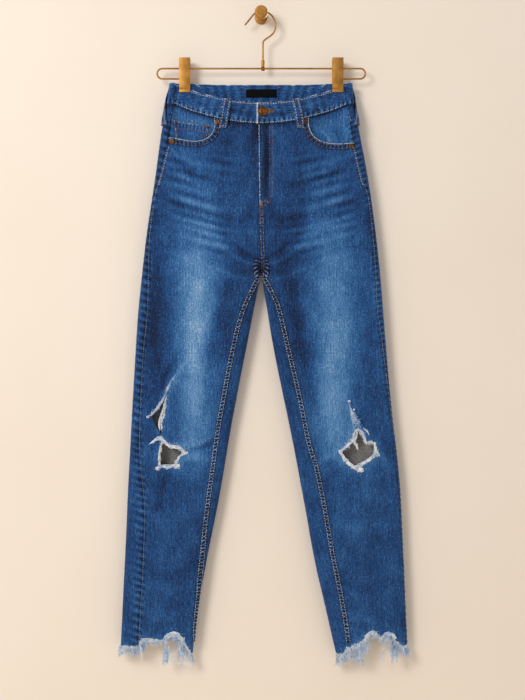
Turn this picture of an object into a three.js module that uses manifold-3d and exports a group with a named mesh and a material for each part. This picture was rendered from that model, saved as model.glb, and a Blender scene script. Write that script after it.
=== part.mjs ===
// Ripped skinny jeans, held by two clips on a brass wire hanger that hangs from a brass wall peg.
//
// Millimetres, +Z up. The wall is the plane y = 0 and the front of the jeans faces -Y.
// The origin is the middle of the peg's back face, where the peg meets the wall.
// "Right" and "left" are the wearer's, so the right leg has negative x.
//
// The cloth follows one hollow form, a flattened tube with two legs. A place on it is (side, w, z):
// w is the girth measured from the centre front outwards, round the side edge, over the back and,
// on a leg, round its inner edge to the front again. Each piece of cloth is a wall on that form.

import * as THREE from 'three';
import { mergeVertices } from 'three/addons/utils/BufferGeometryUtils.js';
import Module from 'manifold-3d';

const wasm = await Module();
wasm.setup();

// ---------------------------------------------------------------- driving dimensions

const DENIM = 1.4; // wall of one layer of denim
const BAND = 2.6; // wall of the doubled waistband
const GAP = 0.3; // clearance between pieces that meet
const HANG_Y = -20; // plane in which the hanger and the cloth's mid-surface hang

const WAIST_Z = -121; // top of the back waistband
const BAND_HEIGHT = 38;
const WAIST_DIP = 36.5; // how far the front waist sags below the back at its middle
const DIP_REACH = 147; // distance from the middle where the sag has died out
const SEAM_REACH = 150; // the same, for the seam under the waistband
const CROTCH_Z = -449;
const HEM_Z = -1108;
const CLOTH_END_Z = -1135; // panels run this far down before their hems are chewed off

const EDGE_ROUND = 10; // width of the rounded fold along each side edge
const CROTCH_SLOPE = 0.4; // how fast front and back part above the crotch point

const CLIP_X = 134; // middle of each clip
const CLIP_WIDTH = 19.4;
const CLIP_TOP_Z = -77;
const CLIP_END_Z = -137;
const PINCHED = BAND / 2 + 0.35; // half distance of the two waistbands between the jaws

const WIRE_RADIUS = 1.5;
const BAR_Z = -94.5; // upper run of the hanger wire
const LOOP_RADIUS = 9; // bend at each end of the hanger
const HANGER_HALF = 182.5; // half the hanger's width, to the wire's centre line
const HOOK_RADIUS = 25.4;
const STEM_X = 3;
const PEG_NECK_RADIUS = 4.5;
const PEG_LENGTH = 40;

// ---------------------------------------------------------------- small maths

const clamp01 = (t) => Math.min(1, Math.max(0, t));
const mix = (a, b, t) => a + (b - a) * t;
const ease = (from, to, value) => {
  const t = clamp01((value - from) / (to - from));
  return t * t * (3 - 2 * t);
};

// A smooth curve through [z, value] points listed from the top down.
function through(points) {
  const knots = [...points].sort((p, q) => p[0] - q[0]);
  const last = knots.length - 1;
  const slope = knots.map((_, i) => {
    const low = knots[Math.max(0, i - 1)];
    const high = knots[Math.min(last, i + 1)];
    return (high[1] - low[1]) / (high[0] - low[0]);
  });
  return (z) => {
    if (z <= knots[0][0]) return knots[0][1] + slope[0] * (z - knots[0][0]);
    if (z >= knots[last][0]) return knots[last][1];
    let i = 0;
    while (z > knots[i + 1][0]) i += 1;
    const span = knots[i + 1][0] - knots[i][0];
    const t = (z - knots[i][0]) / span;
    const rise = knots[i + 1][1] - knots[i][1];
    const start = knots[i][1] + t * t * (3 - 2 * t) * rise;
    return start + span * t * (1 - t) * ((1 - t) * slope[i] - t * slope[i + 1]);
  };
}

// ---------------------------------------------------------------- the two halves of the garment

// outer and inner: the half's outline, as distance from the middle at a height.
// outseam: how far the side seam lies in from the outer edge, on the front face.
// inseam: how far the inner leg seam lies in from the inner edge, on the front face.
const RIGHT = {
  name: 'right',
  sign: -1,
  outer: through([
    [-118, 159.5], [-150, 163], [-205, 174], [-290, 186], [-400, 202],
    [-535, 216], [-675, 224.5], [-815, 232], [-955, 238.5], [-1110, 246],
  ]),
  legInner: through([
    [CROTCH_Z, 0], [-500, 10], [-605, 31], [-710, 51], [-850, 75], [-955, 96], [-1060, 115], [-1130, 122],
  ]),
  outseam: through([
    [-118, 10], [-160, 11], [-205, 14], [-235, 14], [-287, 8], [-325, 4.5], [-400, 6],
    [-520, 15], [-600, 13], [-760, 16], [-870, 30], [-1110, 31],
  ]),
  inseam: through([
    [CROTCH_Z, 0], [-480, 9], [-520, 18.5], [-560, 22], [-710, 22], [-790, 20],
    [-866, 17], [-953, 8.6], [-1022, 3], [-1090, 0.5],
  ]),
};
const LEFT = {
  name: 'left',
  sign: 1,
  outer: through([
    [-118, 158.5], [-150, 160.5], [-205, 171], [-290, 187], [-400, 202],
    [-535, 214], [-675, 226], [-815, 242], [-955, 249], [-1110, 256],
  ]),
  legInner: through([
    [CROTCH_Z, 0], [-500, 8], [-605, 26], [-710, 48], [-850, 75], [-955, 94], [-1060, 118], [-1130, 134],
  ]),
  outseam: through([
    [-118, 12], [-230, 13], [-290, 10.5], [-320, 5], [-440, 6.5], [-520, 9], [-570, 6],
    [-660, 2.5], [-745, 0.6], [-1110, 0.6],
  ]),
  inseam: through([
    [CROTCH_Z, 0], [-480, 10], [-510, 19], [-560, 23], [-640, 27], [-750, 27],
    [-797, 32], [-953, 32.5], [-1022, 31], [-1110, 25],
  ]),
};

// Above the crotch the inner edge runs on past the middle, which opens the U of the crotch seam.
function innerEdge(half, z) {
  return z < CROTCH_Z ? half.legInner(z) : -CROTCH_SLOPE * (z - CROTCH_Z);
}

// ---------------------------------------------------------------- depth of the form

const frontDepth = through([[-121, 10], [-200, 12], [-300, 12], [-450, 9.5], [-700, 8], [-1110, 7]]);
const backDepth = through([[-121, 6], [-180, 6.5], [-260, 9], [-320, 9.5], [-450, 8.5], [-700, 7.5], [-1110, 6.5]]);
const BELLY_CROWN = 5; // extra bulge in the middle of the front
const SEAT_CROWN = 4;
const LEG_CROWN = 3.5;

// The largest folds: a soft ridge (+) or trough (-) along a line from one point to another.
// Each is [x1, z1, x2, z2, height, half width] on the front or on the back.
const FRONT_FOLDS = [
  [-150, -232, -96, -300, -2.5, 9], // drag line under the right pocket's outer rivet
  [-20, -330, -150, -318, 1.8, 12], // whiskers from the fly to the hip
  [-16, -372, -140, -352, -1.6, 12],
  [22, -332, 150, -322, 1.8, 12],
  [18, -372, 146, -358, -1.6, 12],
  [12, -205, 13, -318, -1.8, 6], // hollow beside the fly edge
  [-6, -452, -62, -404, 2, 9], // pull lines out of the crotch
  [6, -452, 62, -404, 2, 9],
  [-150, -640, -118, -560, -2, 12], // above the ripped knees
  [150, -664, 172, -716, 2.2, 9],
  [-128, -762, -84, -754, -2.4, 6],
  [120, -772, 84, -790, -2, 8],
  [-196, -860, -150, -930, 1.6, 14], // shins
  [216, -860, 168, -940, -1.6, 14],
];
const BACK_FOLDS = [
  [-12, -408, -120, -430, -2.2, 10], // folds under the seat
  [12, -412, 118, -432, -2.2, 10],
  [-30, -470, -150, -500, 1.8, 12],
  [34, -478, 156, -500, 1.8, 12],
  [-70, -742, -205, -760, -2.2, 9], // behind the knees
  [72, -748, 212, -768, -2.2, 9],
  [-84, -800, -200, -782, 1.8, 10],
  [90, -806, 210, -792, 1.8, 10],
];

function foldHeight(folds, x, z) {
  let height = 0;
  for (const [x1, z1, x2, z2, rise, halfWidth] of folds) {
    const length = Math.hypot(x2 - x1, z2 - z1);
    const along = clamp01(((x - x1) * (x2 - x1) + (z - z1) * (z2 - z1)) / length ** 2);
    const away = Math.hypot(x - mix(x1, x2, along), z - mix(z1, z2, along));
    height += rise * Math.exp(-((away / halfWidth) ** 2)) * Math.sin(Math.PI * mix(0.12, 0.88, along));
  }
  return height;
}

// Half the depth of the form at distance X from the middle, towards the front or the back.
function depthAt(half, X, z, front) {
  const hips = ease(-520, -380, z);
  const out = half.outer(z);
  const inn = Math.max(0, innerEdge(half, z));
  const acrossHips = X / out;
  const acrossLeg = (2 * X - out - inn) / (out - inn);
  const crown = mix(
    LEG_CROWN * (1 - acrossLeg ** 2),
    (front ? BELLY_CROWN : SEAT_CROWN) * (1 - acrossHips ** 2),
    hips,
  );
  const folds = foldHeight(front ? FRONT_FOLDS : BACK_FOLDS, half.sign * X, z);
  const free = (front ? frontDepth(z) : backDepth(z)) + crown + folds;
  const fromJaw = X > CLIP_X ? (X - CLIP_X - 12) / 9 : (CLIP_X - X - 12) / 24;
  const grip = Math.exp(-(Math.max(0, fromJaw) ** 2)) * ease(-215, CLIP_END_Z - 6, z);
  return mix(free, PINCHED, grip);
}

// ---------------------------------------------------------------- the form itself

// Sizes of the section at a height: where the flat part ends at the outer and the inner edge,
// and the mean radius of the rounded folds, by which w is measured.
function section(half, z) {
  const radius = Math.sqrt((EDGE_ROUND ** 2 + frontDepth(z) ** 2) / 2);
  const outFlat = half.outer(z) - EDGE_ROUND;
  const inFlat = innerEdge(half, z) + EDGE_ROUND;
  const backStart = outFlat + Math.PI * radius;
  const backEnd = backStart + outFlat - inFlat;
  return { radius, outFlat, inFlat, backStart, backEnd, girth: backEnd + Math.PI * radius - inFlat };
}

// Distance X from the middle, and how far front (+1) or back (-1) the place is.
function place(half, w, z) {
  const s = section(half, z);
  if (w < s.inFlat) {
    const turn = (s.inFlat - w) / s.radius;
    return { X: s.inFlat - EDGE_ROUND * Math.sin(turn), c: Math.cos(turn) };
  }
  if (w <= s.outFlat) return { X: w, c: 1 };
  if (w < s.backStart) {
    const turn = (w - s.outFlat) / s.radius;
    return { X: s.outFlat + EDGE_ROUND * Math.sin(turn), c: Math.cos(turn) };
  }
  if (w <= s.backEnd) return { X: s.outFlat - (w - s.backStart), c: -1 };
  const turn = (w - s.backEnd) / s.radius;
  if (turn < Math.PI) return { X: s.inFlat - EDGE_ROUND * Math.sin(turn), c: -Math.cos(turn) };
  return { X: s.inFlat + (turn - Math.PI) * s.radius, c: 1 };
}

function onForm(half, w, z) {
  const { X, c } = place(half, w, z);
  return new THREE.Vector3(half.sign * X, HANG_Y - c * depthAt(half, X, z, c > 0), z);
}

// Outward normal of the form, from two short steps.
function outward(half, w, z) {
  const step = 0.5;
  const alongW = onForm(half, w + step, z).sub(onForm(half, w - step, z));
  const alongZ = onForm(half, w, z + step).sub(onForm(half, w, z - step));
  return alongW.cross(alongZ).multiplyScalar(half.sign).normalize();
}

function skin(half, w, z, off) {
  const point = onForm(half, w, z).addScaledVector(outward(half, w, z), off);
  // The two halves meet in the middle plane round the crotch, so neither wall crosses it there.
  if (z < CROTCH_Z + 25) point.x = half.sign * Math.max(half.sign * point.x, GAP / 2);
  return point;
}

// Girth at which the front face is X from the middle.
function frontW(half, X, z) {
  const s = section(half, z);
  if (X > s.outFlat) return s.outFlat + s.radius * Math.asin(Math.min(1, (X - s.outFlat) / EDGE_ROUND));
  if (X < s.inFlat) return s.inFlat - s.radius * Math.asin(Math.min(1, (s.inFlat - X) / EDGE_ROUND));
  return X;
}

// Girth at which the back face is X from the middle.
function backW(half, X, z) {
  const s = section(half, z);
  if (X > s.outFlat) return s.backStart - s.radius * Math.asin(Math.min(1, (X - s.outFlat) / EDGE_ROUND));
  if (X < s.inFlat) return s.backEnd + s.radius * Math.asin(Math.min(1, (s.inFlat - X) / EDGE_ROUND));
  return s.backStart + s.outFlat - X;
}

// ---------------------------------------------------------------- seam lines

const dip = (X, reach) => 1 - Math.min(1, (X / reach) ** 2);
const frontTop = (X) => WAIST_Z - WAIST_DIP * dip(X, DIP_REACH);
const frontSeam = (X) => WAIST_Z - BAND_HEIGHT - 36 * dip(X, SEAM_REACH);
const backSeam = () => WAIST_Z - BAND_HEIGHT;
const yokeSeam = (X) => mix(-224, -188, clamp01(X / 165));

const flyEdge = through([[-190, -5], [-320, -3.5], [CROTCH_Z, 0]]); // x of the left front's fly edge
const sideSeam = (half, z) => frontW(half, half.outer(z) - half.outseam(z), z);
const legSeam = (half, z) => frontW(half, half.legInner(z) + half.inseam(z), z);

function frontStart(half, z) {
  return z > CROTCH_Z ? frontW(half, half.sign * flyEdge(z), z) : legSeam(half, z);
}

function backEndW(half, z) {
  return z > CROTCH_Z ? backW(half, 0, z) : section(half, z).girth + legSeam(half, z);
}

// ---------------------------------------------------------------- making solids

function meshGeometry(positions, triangles) {
  const geometry = new THREE.BufferGeometry();
  geometry.setAttribute('position', new THREE.Float32BufferAttribute(positions, 3));
  geometry.setIndex(triangles);
  return geometry;
}

function toManifold(geometry) {
  const bare = geometry.clone();
  bare.deleteAttribute('normal');
  bare.deleteAttribute('uv');
  const merged = mergeVertices(bare, 1e-4);
  const vertProperties = new Float32Array(merged.attributes.position.array);
  const triVerts = new Uint32Array(merged.index.array);
  const build = (tris) => new wasm.Manifold(new wasm.Mesh({ numProp: 3, vertProperties, triVerts: tris }));
  const made = build(triVerts);
  if (made.volume() > 0) return made;
  const flipped = triVerts.slice();
  for (let i = 0; i < flipped.length; i += 3) {
    flipped[i] = triVerts[i + 1];
    flipped[i + 1] = triVerts[i];
  }
  return build(flipped);
}

function fromManifold(solid) {
  const mesh = solid.getMesh();
  return meshGeometry(Array.from(mesh.vertProperties), Array.from(mesh.triVerts));
}

// A closed wall on a grid of rows of { outer, inner } corners.
function wallGeometry(rows) {
  const positions = [];
  const triangles = [];
  const rowCount = rows.length;
  const colCount = rows[0].length;
  rows.flat().forEach((corner) => positions.push(...corner.outer.toArray()));
  rows.flat().forEach((corner) => positions.push(...corner.inner.toArray()));
  const back = rowCount * colCount;
  const at = (row, col) => row * colCount + col;
  const quad = (a, b, c, d) => triangles.push(a, b, c, a, c, d);
  for (let row = 0; row < rowCount - 1; row += 1) {
    for (let col = 0; col < colCount - 1; col += 1) {
      const [a, b] = [at(row, col), at(row, col + 1)];
      const [c, d] = [at(row + 1, col + 1), at(row + 1, col)];
      quad(a, b, c, d);
      quad(back + d, back + c, back + b, back + a);
    }
  }
  const rim = [];
  for (let col = 0; col < colCount - 1; col += 1) rim.push(at(0, col));
  for (let row = 0; row < rowCount - 1; row += 1) rim.push(at(row, colCount - 1));
  for (let col = colCount - 1; col > 0; col -= 1) rim.push(at(rowCount - 1, col));
  for (let row = rowCount - 1; row > 0; row -= 1) rim.push(at(row, 0));
  rim.forEach((a, i) => {
    const b = rim[(i + 1) % rim.length];
    quad(b, a, back + a, back + b);
  });
  return meshGeometry(positions, triangles);
}

const evenly = (count) => Array.from({ length: count + 1 }, (_, i) => i / count);

// Cloth on the form. zAt(row, X) gives a row's height, from and to give the ends of w at a height,
// and lift(X, z) moves the wall's middle off the form. cols is a number of even columns, or a list
// of their places as shares of the way from one end to the other.
function cloth(half, { rows, cols, zAt, from, to, wall = DENIM, lift = () => 0 }) {
  const shares = Array.isArray(cols) ? cols : evenly(cols);
  const grid = [];
  for (let row = 0; row <= rows; row += 1) {
    const line = [];
    for (const share of shares) {
      let z = zAt(row, 100);
      let w = 0;
      let X = 0;
      for (let pass = 0; pass < 6; pass += 1) {
        w = mix(from(z), to(z), share);
        X = place(half, w, z).X;
        z = zAt(row, X);
      }
      const off = lift(X, z, w);
      line.push({ outer: skin(half, w, z, off + wall / 2), inner: skin(half, w, z, off - wall / 2) });
    }
    grid.push(line);
  }
  return toManifold(wallGeometry(grid));
}

// A flat outline in x and z, as a block through y from the first depth to the second.
function block(outline, yFrom = -70, yTo = -HANG_Y) {
  const shape = new THREE.Shape(outline.map(([x, z]) => new THREE.Vector2(x, z)));
  const geometry = new THREE.ExtrudeGeometry(shape, { depth: yTo - yFrom, bevelEnabled: false });
  geometry.rotateX(Math.PI / 2);
  geometry.translate(0, yTo, 0);
  return toManifold(geometry);
}

// A round wire along a curve.
function wire(curve, radius, steps, sides = 8) {
  const ring = [];
  for (let i = 0; i < sides; i += 1) {
    const angle = (2 * Math.PI * i) / sides;
    ring.push(new THREE.Vector2(radius * Math.cos(angle), radius * Math.sin(angle)));
  }
  const outline = new THREE.Shape(ring);
  return toManifold(new THREE.ExtrudeGeometry(outline, { steps, extrudePath: curve, bevelEnabled: false }));
}

class ArcInXZ extends THREE.Curve {
  constructor(x, z, radius, startAngle, endAngle) {
    super();
    Object.assign(this, { x, z, radius, startAngle, endAngle });
  }

  getPoint(t, target = new THREE.Vector3()) {
    const angle = mix(this.startAngle, this.endAngle, t);
    return target.set(this.x + this.radius * Math.cos(angle), HANG_Y, this.z + this.radius * Math.sin(angle));
  }
}

const inHangPlane = (x, z) => new THREE.Vector3(x, HANG_Y, z);

// A turned part: profile of [radius, height] about an axis, standing on a point along a direction.
function turned(profile, point, direction, sides = 24) {
  const geometry = new THREE.LatheGeometry(profile.map(([r, h]) => new THREE.Vector2(r, h)), sides);
  const turn = new THREE.Quaternion().setFromUnitVectors(new THREE.Vector3(0, 1, 0), direction);
  geometry.applyQuaternion(turn);
  geometry.translate(...point.toArray());
  return toManifold(geometry);
}

// ---------------------------------------------------------------- finishes

const finish = (color, roughness, metalness = 0) =>
  new THREE.MeshStandardMaterial({ color, roughness, metalness });
const denim = () => finish(0x335f96, 0.9);
const darkDenim = () => finish(0x27497c, 0.9);
const paleThread = () => finish(0xdfe5ec, 0.95);
const brass = () => finish(0xc08a3c, 0.38, 1);
const copper = () => finish(0x8a5a34, 0.42, 1);

const jeans = new THREE.Group();
function add(name, solid, material) {
  const mesh = new THREE.Mesh(fromManifold(solid), material);
  mesh.name = name;
  jeans.add(mesh);
}

// ---------------------------------------------------------------- outlines cut out of the cloth

// Front pocket mouths, from the seam under the waistband round to the side seam, as [X, z].
const MOUTH = {
  right: [[81.5, -180], [80.5, -198], [85, -211], [95.5, -220.5], [112, -225], [130, -223.5], [152, -219]],
  left: [[82, -180], [82.5, -199], [89, -213.5], [101, -223.5], [118, -228.5], [137, -229.5], [156, -228]],
};

// Holes torn in the knees, as [x, z].
const RIGHT_SLASH = [
  [-164, -655], [-168.5, -678], [-170, -702], [-176, -713], [-173.5, -733], [-176, -734],
  [-191, -706],
];
const RIGHT_KNEE = [
  [-172, -747], [-158, -755.5], [-144, -757], [-136, -764], [-144, -775], [-152, -787.5],
  [-176, -788.5], [-177, -768],
];
const LEFT_KNEE = [
  [166, -726], [158, -746], [139, -765], [146, -777], [163, -790], [177, -786], [189, -779],
  [198, -767], [197, -750], [182, -749], [173, -729],
];

// Chewed hems, from the inner edge to the outer edge, as [X, z].
const HEM = {
  right: [
    [60, -1128], [115, -1126], [124, -1120], [135, -1101], [143, -1092], [152, -1086], [164, -1091],
    [168, -1096], [208, -1092.5], [214, -1107], [300, HEM_Z],
  ],
  left: [
    [60, -1128], [138, -1126], [152, -1109], [176, -1098], [184, -1086], [195, -1080], [205, -1087],
    [211, -1092], [219, -1085.5], [227, -1086], [233, -1095], [244, -1106], [320, HEM_Z],
  ],
};

// How far the frayed threads hang below each hem, from the outer edge to the inner edge.
const FRAY_END = {
  right: [
    [300, -1124], [216, -1122], [212, -1134], [205, -1132], [200, -1112], [174, -1112],
    [168, -1128], [160, -1131], [150, -1118], [138, -1136], [120, -1142], [60, -1140],
  ],
  left: [
    [320, -1134], [250, -1130], [236, -1132], [222, -1130], [216, -1112], [202, -1136],
    [196, -1112], [178, -1114], [165, -1134], [140, -1145], [126, -1146], [60, -1144],
  ],
};

const mirrored = (half, outline) => outline.map(([X, z]) => [half.sign * X, z]);

function mouthBlock(half) {
  const mouth = MOUTH[half.name];
  const outerEnd = [mouth.at(-1)[0] + 40, mouth.at(-1)[1]];
  return block(mirrored(half, [...mouth, outerEnd, [outerEnd[0], -100], [mouth[0][0], -100]]));
}

function hemBlock(half) {
  return block(mirrored(half, [...HEM[half.name], [320, -1200], [60, -1200]]));
}

// ---------------------------------------------------------------- legs: fronts, backs, yokes

const UPPER_ROWS = 5;
const LOWER_ROWS = 22;
const JOIN_Z = -262; // below this height the rows of a panel are level

// Rows that start on a seam line and are level below JOIN_Z.
function panelRows(top) {
  return (row, X) => {
    if (row <= UPPER_ROWS) return mix(top(X) - GAP / 2, JOIN_Z, row / UPPER_ROWS);
    return mix(JOIN_Z, CLOTH_END_Z, (row - UPPER_ROWS) / LOWER_ROWS);
  };
}

function frontPanel(half, holes) {
  let panel = cloth(half, {
    rows: UPPER_ROWS + LOWER_ROWS,
    cols: 9,
    zAt: panelRows(frontSeam),
    from: (z) => frontStart(half, z) + GAP,
    to: (z) => sideSeam(half, z) - GAP,
  });
  panel = panel.subtract(mouthBlock(half)).subtract(hemBlock(half));
  for (const hole of holes) panel = panel.subtract(block(hole, -70, HANG_Y));
  add(`front_${half.name}`, panel, denim());
}

function backPanel(half) {
  const panel = cloth(half, {
    rows: UPPER_ROWS + LOWER_ROWS,
    cols: 13,
    zAt: panelRows(yokeSeam),
    from: (z) => sideSeam(half, z) + GAP,
    to: (z) => backEndW(half, z) - GAP,
  });
  add(`back_${half.name}`, panel.subtract(hemBlock(half)), darkDenim());
}

function yoke(half) {
  const rows = 2;
  const solid = cloth(half, {
    rows,
    cols: 12,
    zAt: (row, X) => mix(backSeam() - GAP / 2, yokeSeam(X) + GAP / 2, row / rows),
    from: (z) => sideSeam(half, z) + GAP,
    to: (z) => backEndW(half, z) - GAP,
  });
  add(`yoke_${half.name}`, solid, darkDenim());
}

frontPanel(RIGHT, [RIGHT_SLASH, RIGHT_KNEE]);
frontPanel(LEFT, [LEFT_KNEE]);
for (const half of [RIGHT, LEFT]) {
  backPanel(half);
  yoke(half);
}

// ---------------------------------------------------------------- waistband

const OVERLAP_X = -8; // end of the left waistband, over the right one
const UNDERLAP_X = 24; // hidden end of the right waistband's tab
const bandRows = (top, bottom) => (row, X) => mix(top(X), bottom(X) + GAP / 2, row / 3);

// Columns of a band that starts at X = start, closer together where a clip grips it.
function bandColumns(half, start) {
  const end = sideSeam(half, WAIST_Z - 20);
  const grip = [CLIP_X - 44, CLIP_X - 28, CLIP_X - 12, CLIP_X, CLIP_X + 12];
  const free = evenly(7).slice(0, -1).map((share) => mix(start, CLIP_X - 44, share));
  return [...free, ...grip, end].map((X) => (X - start) / (end - start));
}

// The right band dips behind the left one near the middle.
const underLeftBand = (X) => -(BAND + GAP) * ease(-(OVERLAP_X - 34), -(OVERLAP_X - 2), X);

add('waistband_front_right', cloth(RIGHT, {
  rows: 3,
  cols: bandColumns(RIGHT, -UNDERLAP_X),
  wall: BAND,
  zAt: bandRows(frontTop, frontSeam),
  from: () => -UNDERLAP_X,
  to: (z) => sideSeam(RIGHT, z) - GAP / 2,
  lift: underLeftBand,
}), denim());

add('waistband_front_left', cloth(LEFT, {
  rows: 3,
  cols: bandColumns(LEFT, OVERLAP_X),
  wall: BAND,
  zAt: bandRows(frontTop, frontSeam),
  from: () => OVERLAP_X,
  to: (z) => sideSeam(LEFT, z) - GAP / 2,
}), denim());

// The back band runs from side seam to side seam: two halves that share their centre line.
function backBandHalf(half) {
  return cloth(half, {
    rows: 3,
    cols: 18,
    wall: BAND,
    zAt: bandRows(() => WAIST_Z, backSeam),
    from: (z) => sideSeam(half, z) + GAP,
    to: (z) => backW(half, 0, z) + 0.5,
  });
}
add('waistband_back', backBandHalf(RIGHT).add(backBandHalf(LEFT)), darkDenim());

// A blank woven tag on the inner face of the back waistband.
const TAG = { halfWidth: 27, top: -129, bottom: -143.5, thick: 0.8 };
function tagHalf(half) {
  const innerFace = -(BAND / 2 + GAP + TAG.thick / 2);
  return cloth(half, {
    rows: 1,
    cols: 4,
    wall: TAG.thick,
    zAt: (row) => mix(TAG.top, TAG.bottom, row),
    from: (z) => backW(half, TAG.halfWidth, z),
    to: (z) => backW(half, 0, z) + 0.5,
    lift: () => innerFace,
  });
}
add('waist_tag', tagHalf(RIGHT).add(tagHalf(LEFT)), finish(0x15161a, 0.8));

// ---------------------------------------------------------------- belt loops

const LOOP = { width: 13, thick: 1.8, slack: 5, sideSlack: 0.8 };

// A strap from above the band to below its seam, standing off the cloth between its tacks.
// middle(z) is the girth of its centre line.
function beltLoop(name, half, middle, top, bottom, slack = LOOP.slack, cols = 1) {
  const rows = 8;
  const tacked = BAND / 2 + 3 * GAP + LOOP.thick / 2;
  add(name, cloth(half, {
    rows,
    cols,
    wall: LOOP.thick,
    zAt: (row) => mix(top, bottom, row / rows),
    from: (z) => middle(z) - LOOP.width / 2,
    to: (z) => middle(z) + LOOP.width / 2,
    lift: (X, z) => {
      const t = (top - z) / (top - bottom);
      return tacked + slack * ease(0.05, 0.22, t) * (1 - ease(0.78, 0.95, t));
    },
  }), denim());
}

// A strap's centre line that leans from one girth at its top to another at its bottom.
const leaning = (atTop, atBottom, top, bottom) => (z) => mix(atTop, atBottom, (top - z) / (top - bottom));
beltLoop('belt_loop_front_right', RIGHT, leaning(58, 66.5, -151, -202), -151, -202);
beltLoop('belt_loop_front_left', LEFT, leaning(59, 69, -151, -202), -151, -202);
beltLoop('belt_loop_back', RIGHT, (z) => backW(RIGHT, 0, z), -123, -174);
for (const half of [RIGHT, LEFT]) {
  const [top, bottom] = [-128, -197];
  const behindEdge = section(half, top).backStart - 6;
  const onFrontStrip = section(half, bottom).outFlat + 7;
  const middle = leaning(behindEdge, onFrontStrip, top, bottom);
  beltLoop(`belt_loop_side_${half.name}`, half, middle, top, bottom, LOOP.sideSlack, 4);
}

// ---------------------------------------------------------------- front pockets

const FACING_BACK = DENIM + 2 * GAP; // how far a facing lies behind the front
const POCKET_SAG = 7.5; // how much further it hangs back at the mouth

// How far a facing has sunk behind the front, from nothing at its seams.
function sunk(half, X, z) {
  const below = ease(0, 16, frontSeam(X) - z);
  const inside = ease(0, 16, half.outer(z) - half.outseam(z) - X);
  const within = ease(0, 14, X - 72);
  return -FACING_BACK - POCKET_SAG * below * inside * within;
}

function pocketFacing(half) {
  const rows = 6;
  const bottom = -248;
  add(`pocket_facing_${half.name}`, cloth(half, {
    rows,
    cols: 7,
    zAt: (row, X) => mix(frontSeam(X) - GAP, bottom, row / rows),
    from: () => 70,
    to: (z) => sideSeam(half, z) - GAP,
    lift: (X, z) => sunk(half, X, z),
  }), denim());
}
for (const half of [RIGHT, LEFT]) pocketFacing(half);

// The small watch pocket on the right facing.
const COIN = { wall: 1.2, inner: 91, outer: 152, topInner: -195, topOuter: -186, bottom: -238 };
add('coin_pocket', cloth(RIGHT, {
  rows: 4,
  cols: 5,
  wall: COIN.wall,
  zAt: (row, X) => {
    const top = mix(COIN.topInner, COIN.topOuter, (X - COIN.inner) / (COIN.outer - COIN.inner));
    return mix(top, COIN.bottom, row / 4);
  },
  from: (z) => mix(COIN.inner, COIN.inner + 9, clamp01((-195 - z) / 40)),
  to: (z) => mix(COIN.outer, COIN.outer - 5, clamp01((-186 - z) / 50)),
  lift: (X, z) => sunk(RIGHT, X, z) + (DENIM + COIN.wall) / 2 + 4 * GAP,
}), denim());

// ---------------------------------------------------------------- back pockets

// Five-sided patch pockets that lie on the back panels.
function backPocket(half) {
  const [inner, outer] = [34, 160];
  const [top, corner, point] = [-236, -366, -388];
  const wall = 1.2;
  const middle = (inner + outer) / 2;
  const narrow = (z) => 7 * clamp01((top - z) / (top - corner));
  const rows = 6;
  add(`back_pocket_${half.name}`, cloth(half, {
    rows,
    cols: 8,
    wall,
    zAt: (row, X) => {
      const reach = mix(point, corner, clamp01(Math.abs(X - middle) / (outer - middle)));
      return mix(top, reach, row / rows);
    },
    from: (z) => backW(half, outer - narrow(z), z),
    to: (z) => backW(half, inner + narrow(z), z),
    lift: () => (DENIM + wall) / 2 + GAP,
  }), darkDenim());
}
for (const half of [RIGHT, LEFT]) backPocket(half);

// ---------------------------------------------------------------- fly, zip

const FLY_TOP = -197;
const FLY_END = -334;
const ZIP_BACK = -5.2; // middle of the zip tape behind the fronts

// A straight strip behind the fronts, from x1 to x2.
function flyStrip(name, x1, x2, top, bottom, middle, wall, material) {
  const rows = 4;
  add(name, cloth(LEFT, {
    rows,
    cols: 2,
    wall,
    zAt: (row) => mix(top, bottom, row / rows),
    from: () => x1,
    to: () => x2,
    lift: () => middle,
  }), material);
}
flyStrip('zip_tape', -12, 14, FLY_TOP, FLY_END + 6, ZIP_BACK, 1.2, darkDenim());
flyStrip('zip_chain', -2, 4, FLY_TOP - 16, FLY_END + 12, ZIP_BACK + 1.9, 2, brass());
flyStrip('zip_slider', -4, 6, FLY_TOP - 2, FLY_TOP - 15.5, ZIP_BACK + 1.9, 2, brass());
flyStrip('fly_shield', -16, 26, FLY_TOP, FLY_END, ZIP_BACK - 2.8, 1.4, darkDenim());

// ---------------------------------------------------------------- button and rivets

const BUTTON_PROFILE = [[0, 0], [3.2, 0], [3.2, 1.2], [7.6, 1.6], [8.5, 2.6], [8.2, 3.8], [6.4, 4.6], [0, 4.2]];
const RIVET_PROFILE = [[0, 0], [4.4, 0], [4.5, 0.5], [3.6, 1.2], [1.6, 1.5], [0, 1.5]];
const COIN_RIVET_PROFILE = [[0, 0], [2, 0], [2, 0.5], [1.2, 0.9], [0, 1]];

function stud(name, profile, half, X, z, off, sides) {
  const w = frontW(half, X, z);
  add(name, turned(profile, skin(half, w, z, off), outward(half, w, z), sides), copper());
}

stud('waist_button', BUTTON_PROFILE, LEFT, 2.3, -173.4, BAND / 2 + GAP, 28);
const onDenim = DENIM / 2 + 2 * GAP;
stud('rivet_right_inner', RIVET_PROFILE, RIGHT, 76.6, -191, onDenim, 16);
stud('rivet_right_outer', RIVET_PROFILE, RIGHT, 156, -225, onDenim, 16);
stud('rivet_left_inner', RIVET_PROFILE, LEFT, 77.4, -190.5, onDenim, 16);
stud('rivet_left_outer', RIVET_PROFILE, LEFT, 156.5, -233.5, onDenim, 16);
for (const [name, X, z] of [['outer', 148.5, -190.5], ['inner', 95, -198.5]]) {
  const off = sunk(RIGHT, X, z) + DENIM / 2 + COIN.wall + 11 * GAP;
  stud(`coin_rivet_${name}`, COIN_RIVET_PROFILE, RIGHT, X, z, off, 12);
}

// ---------------------------------------------------------------- frayed threads under the hems

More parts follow.
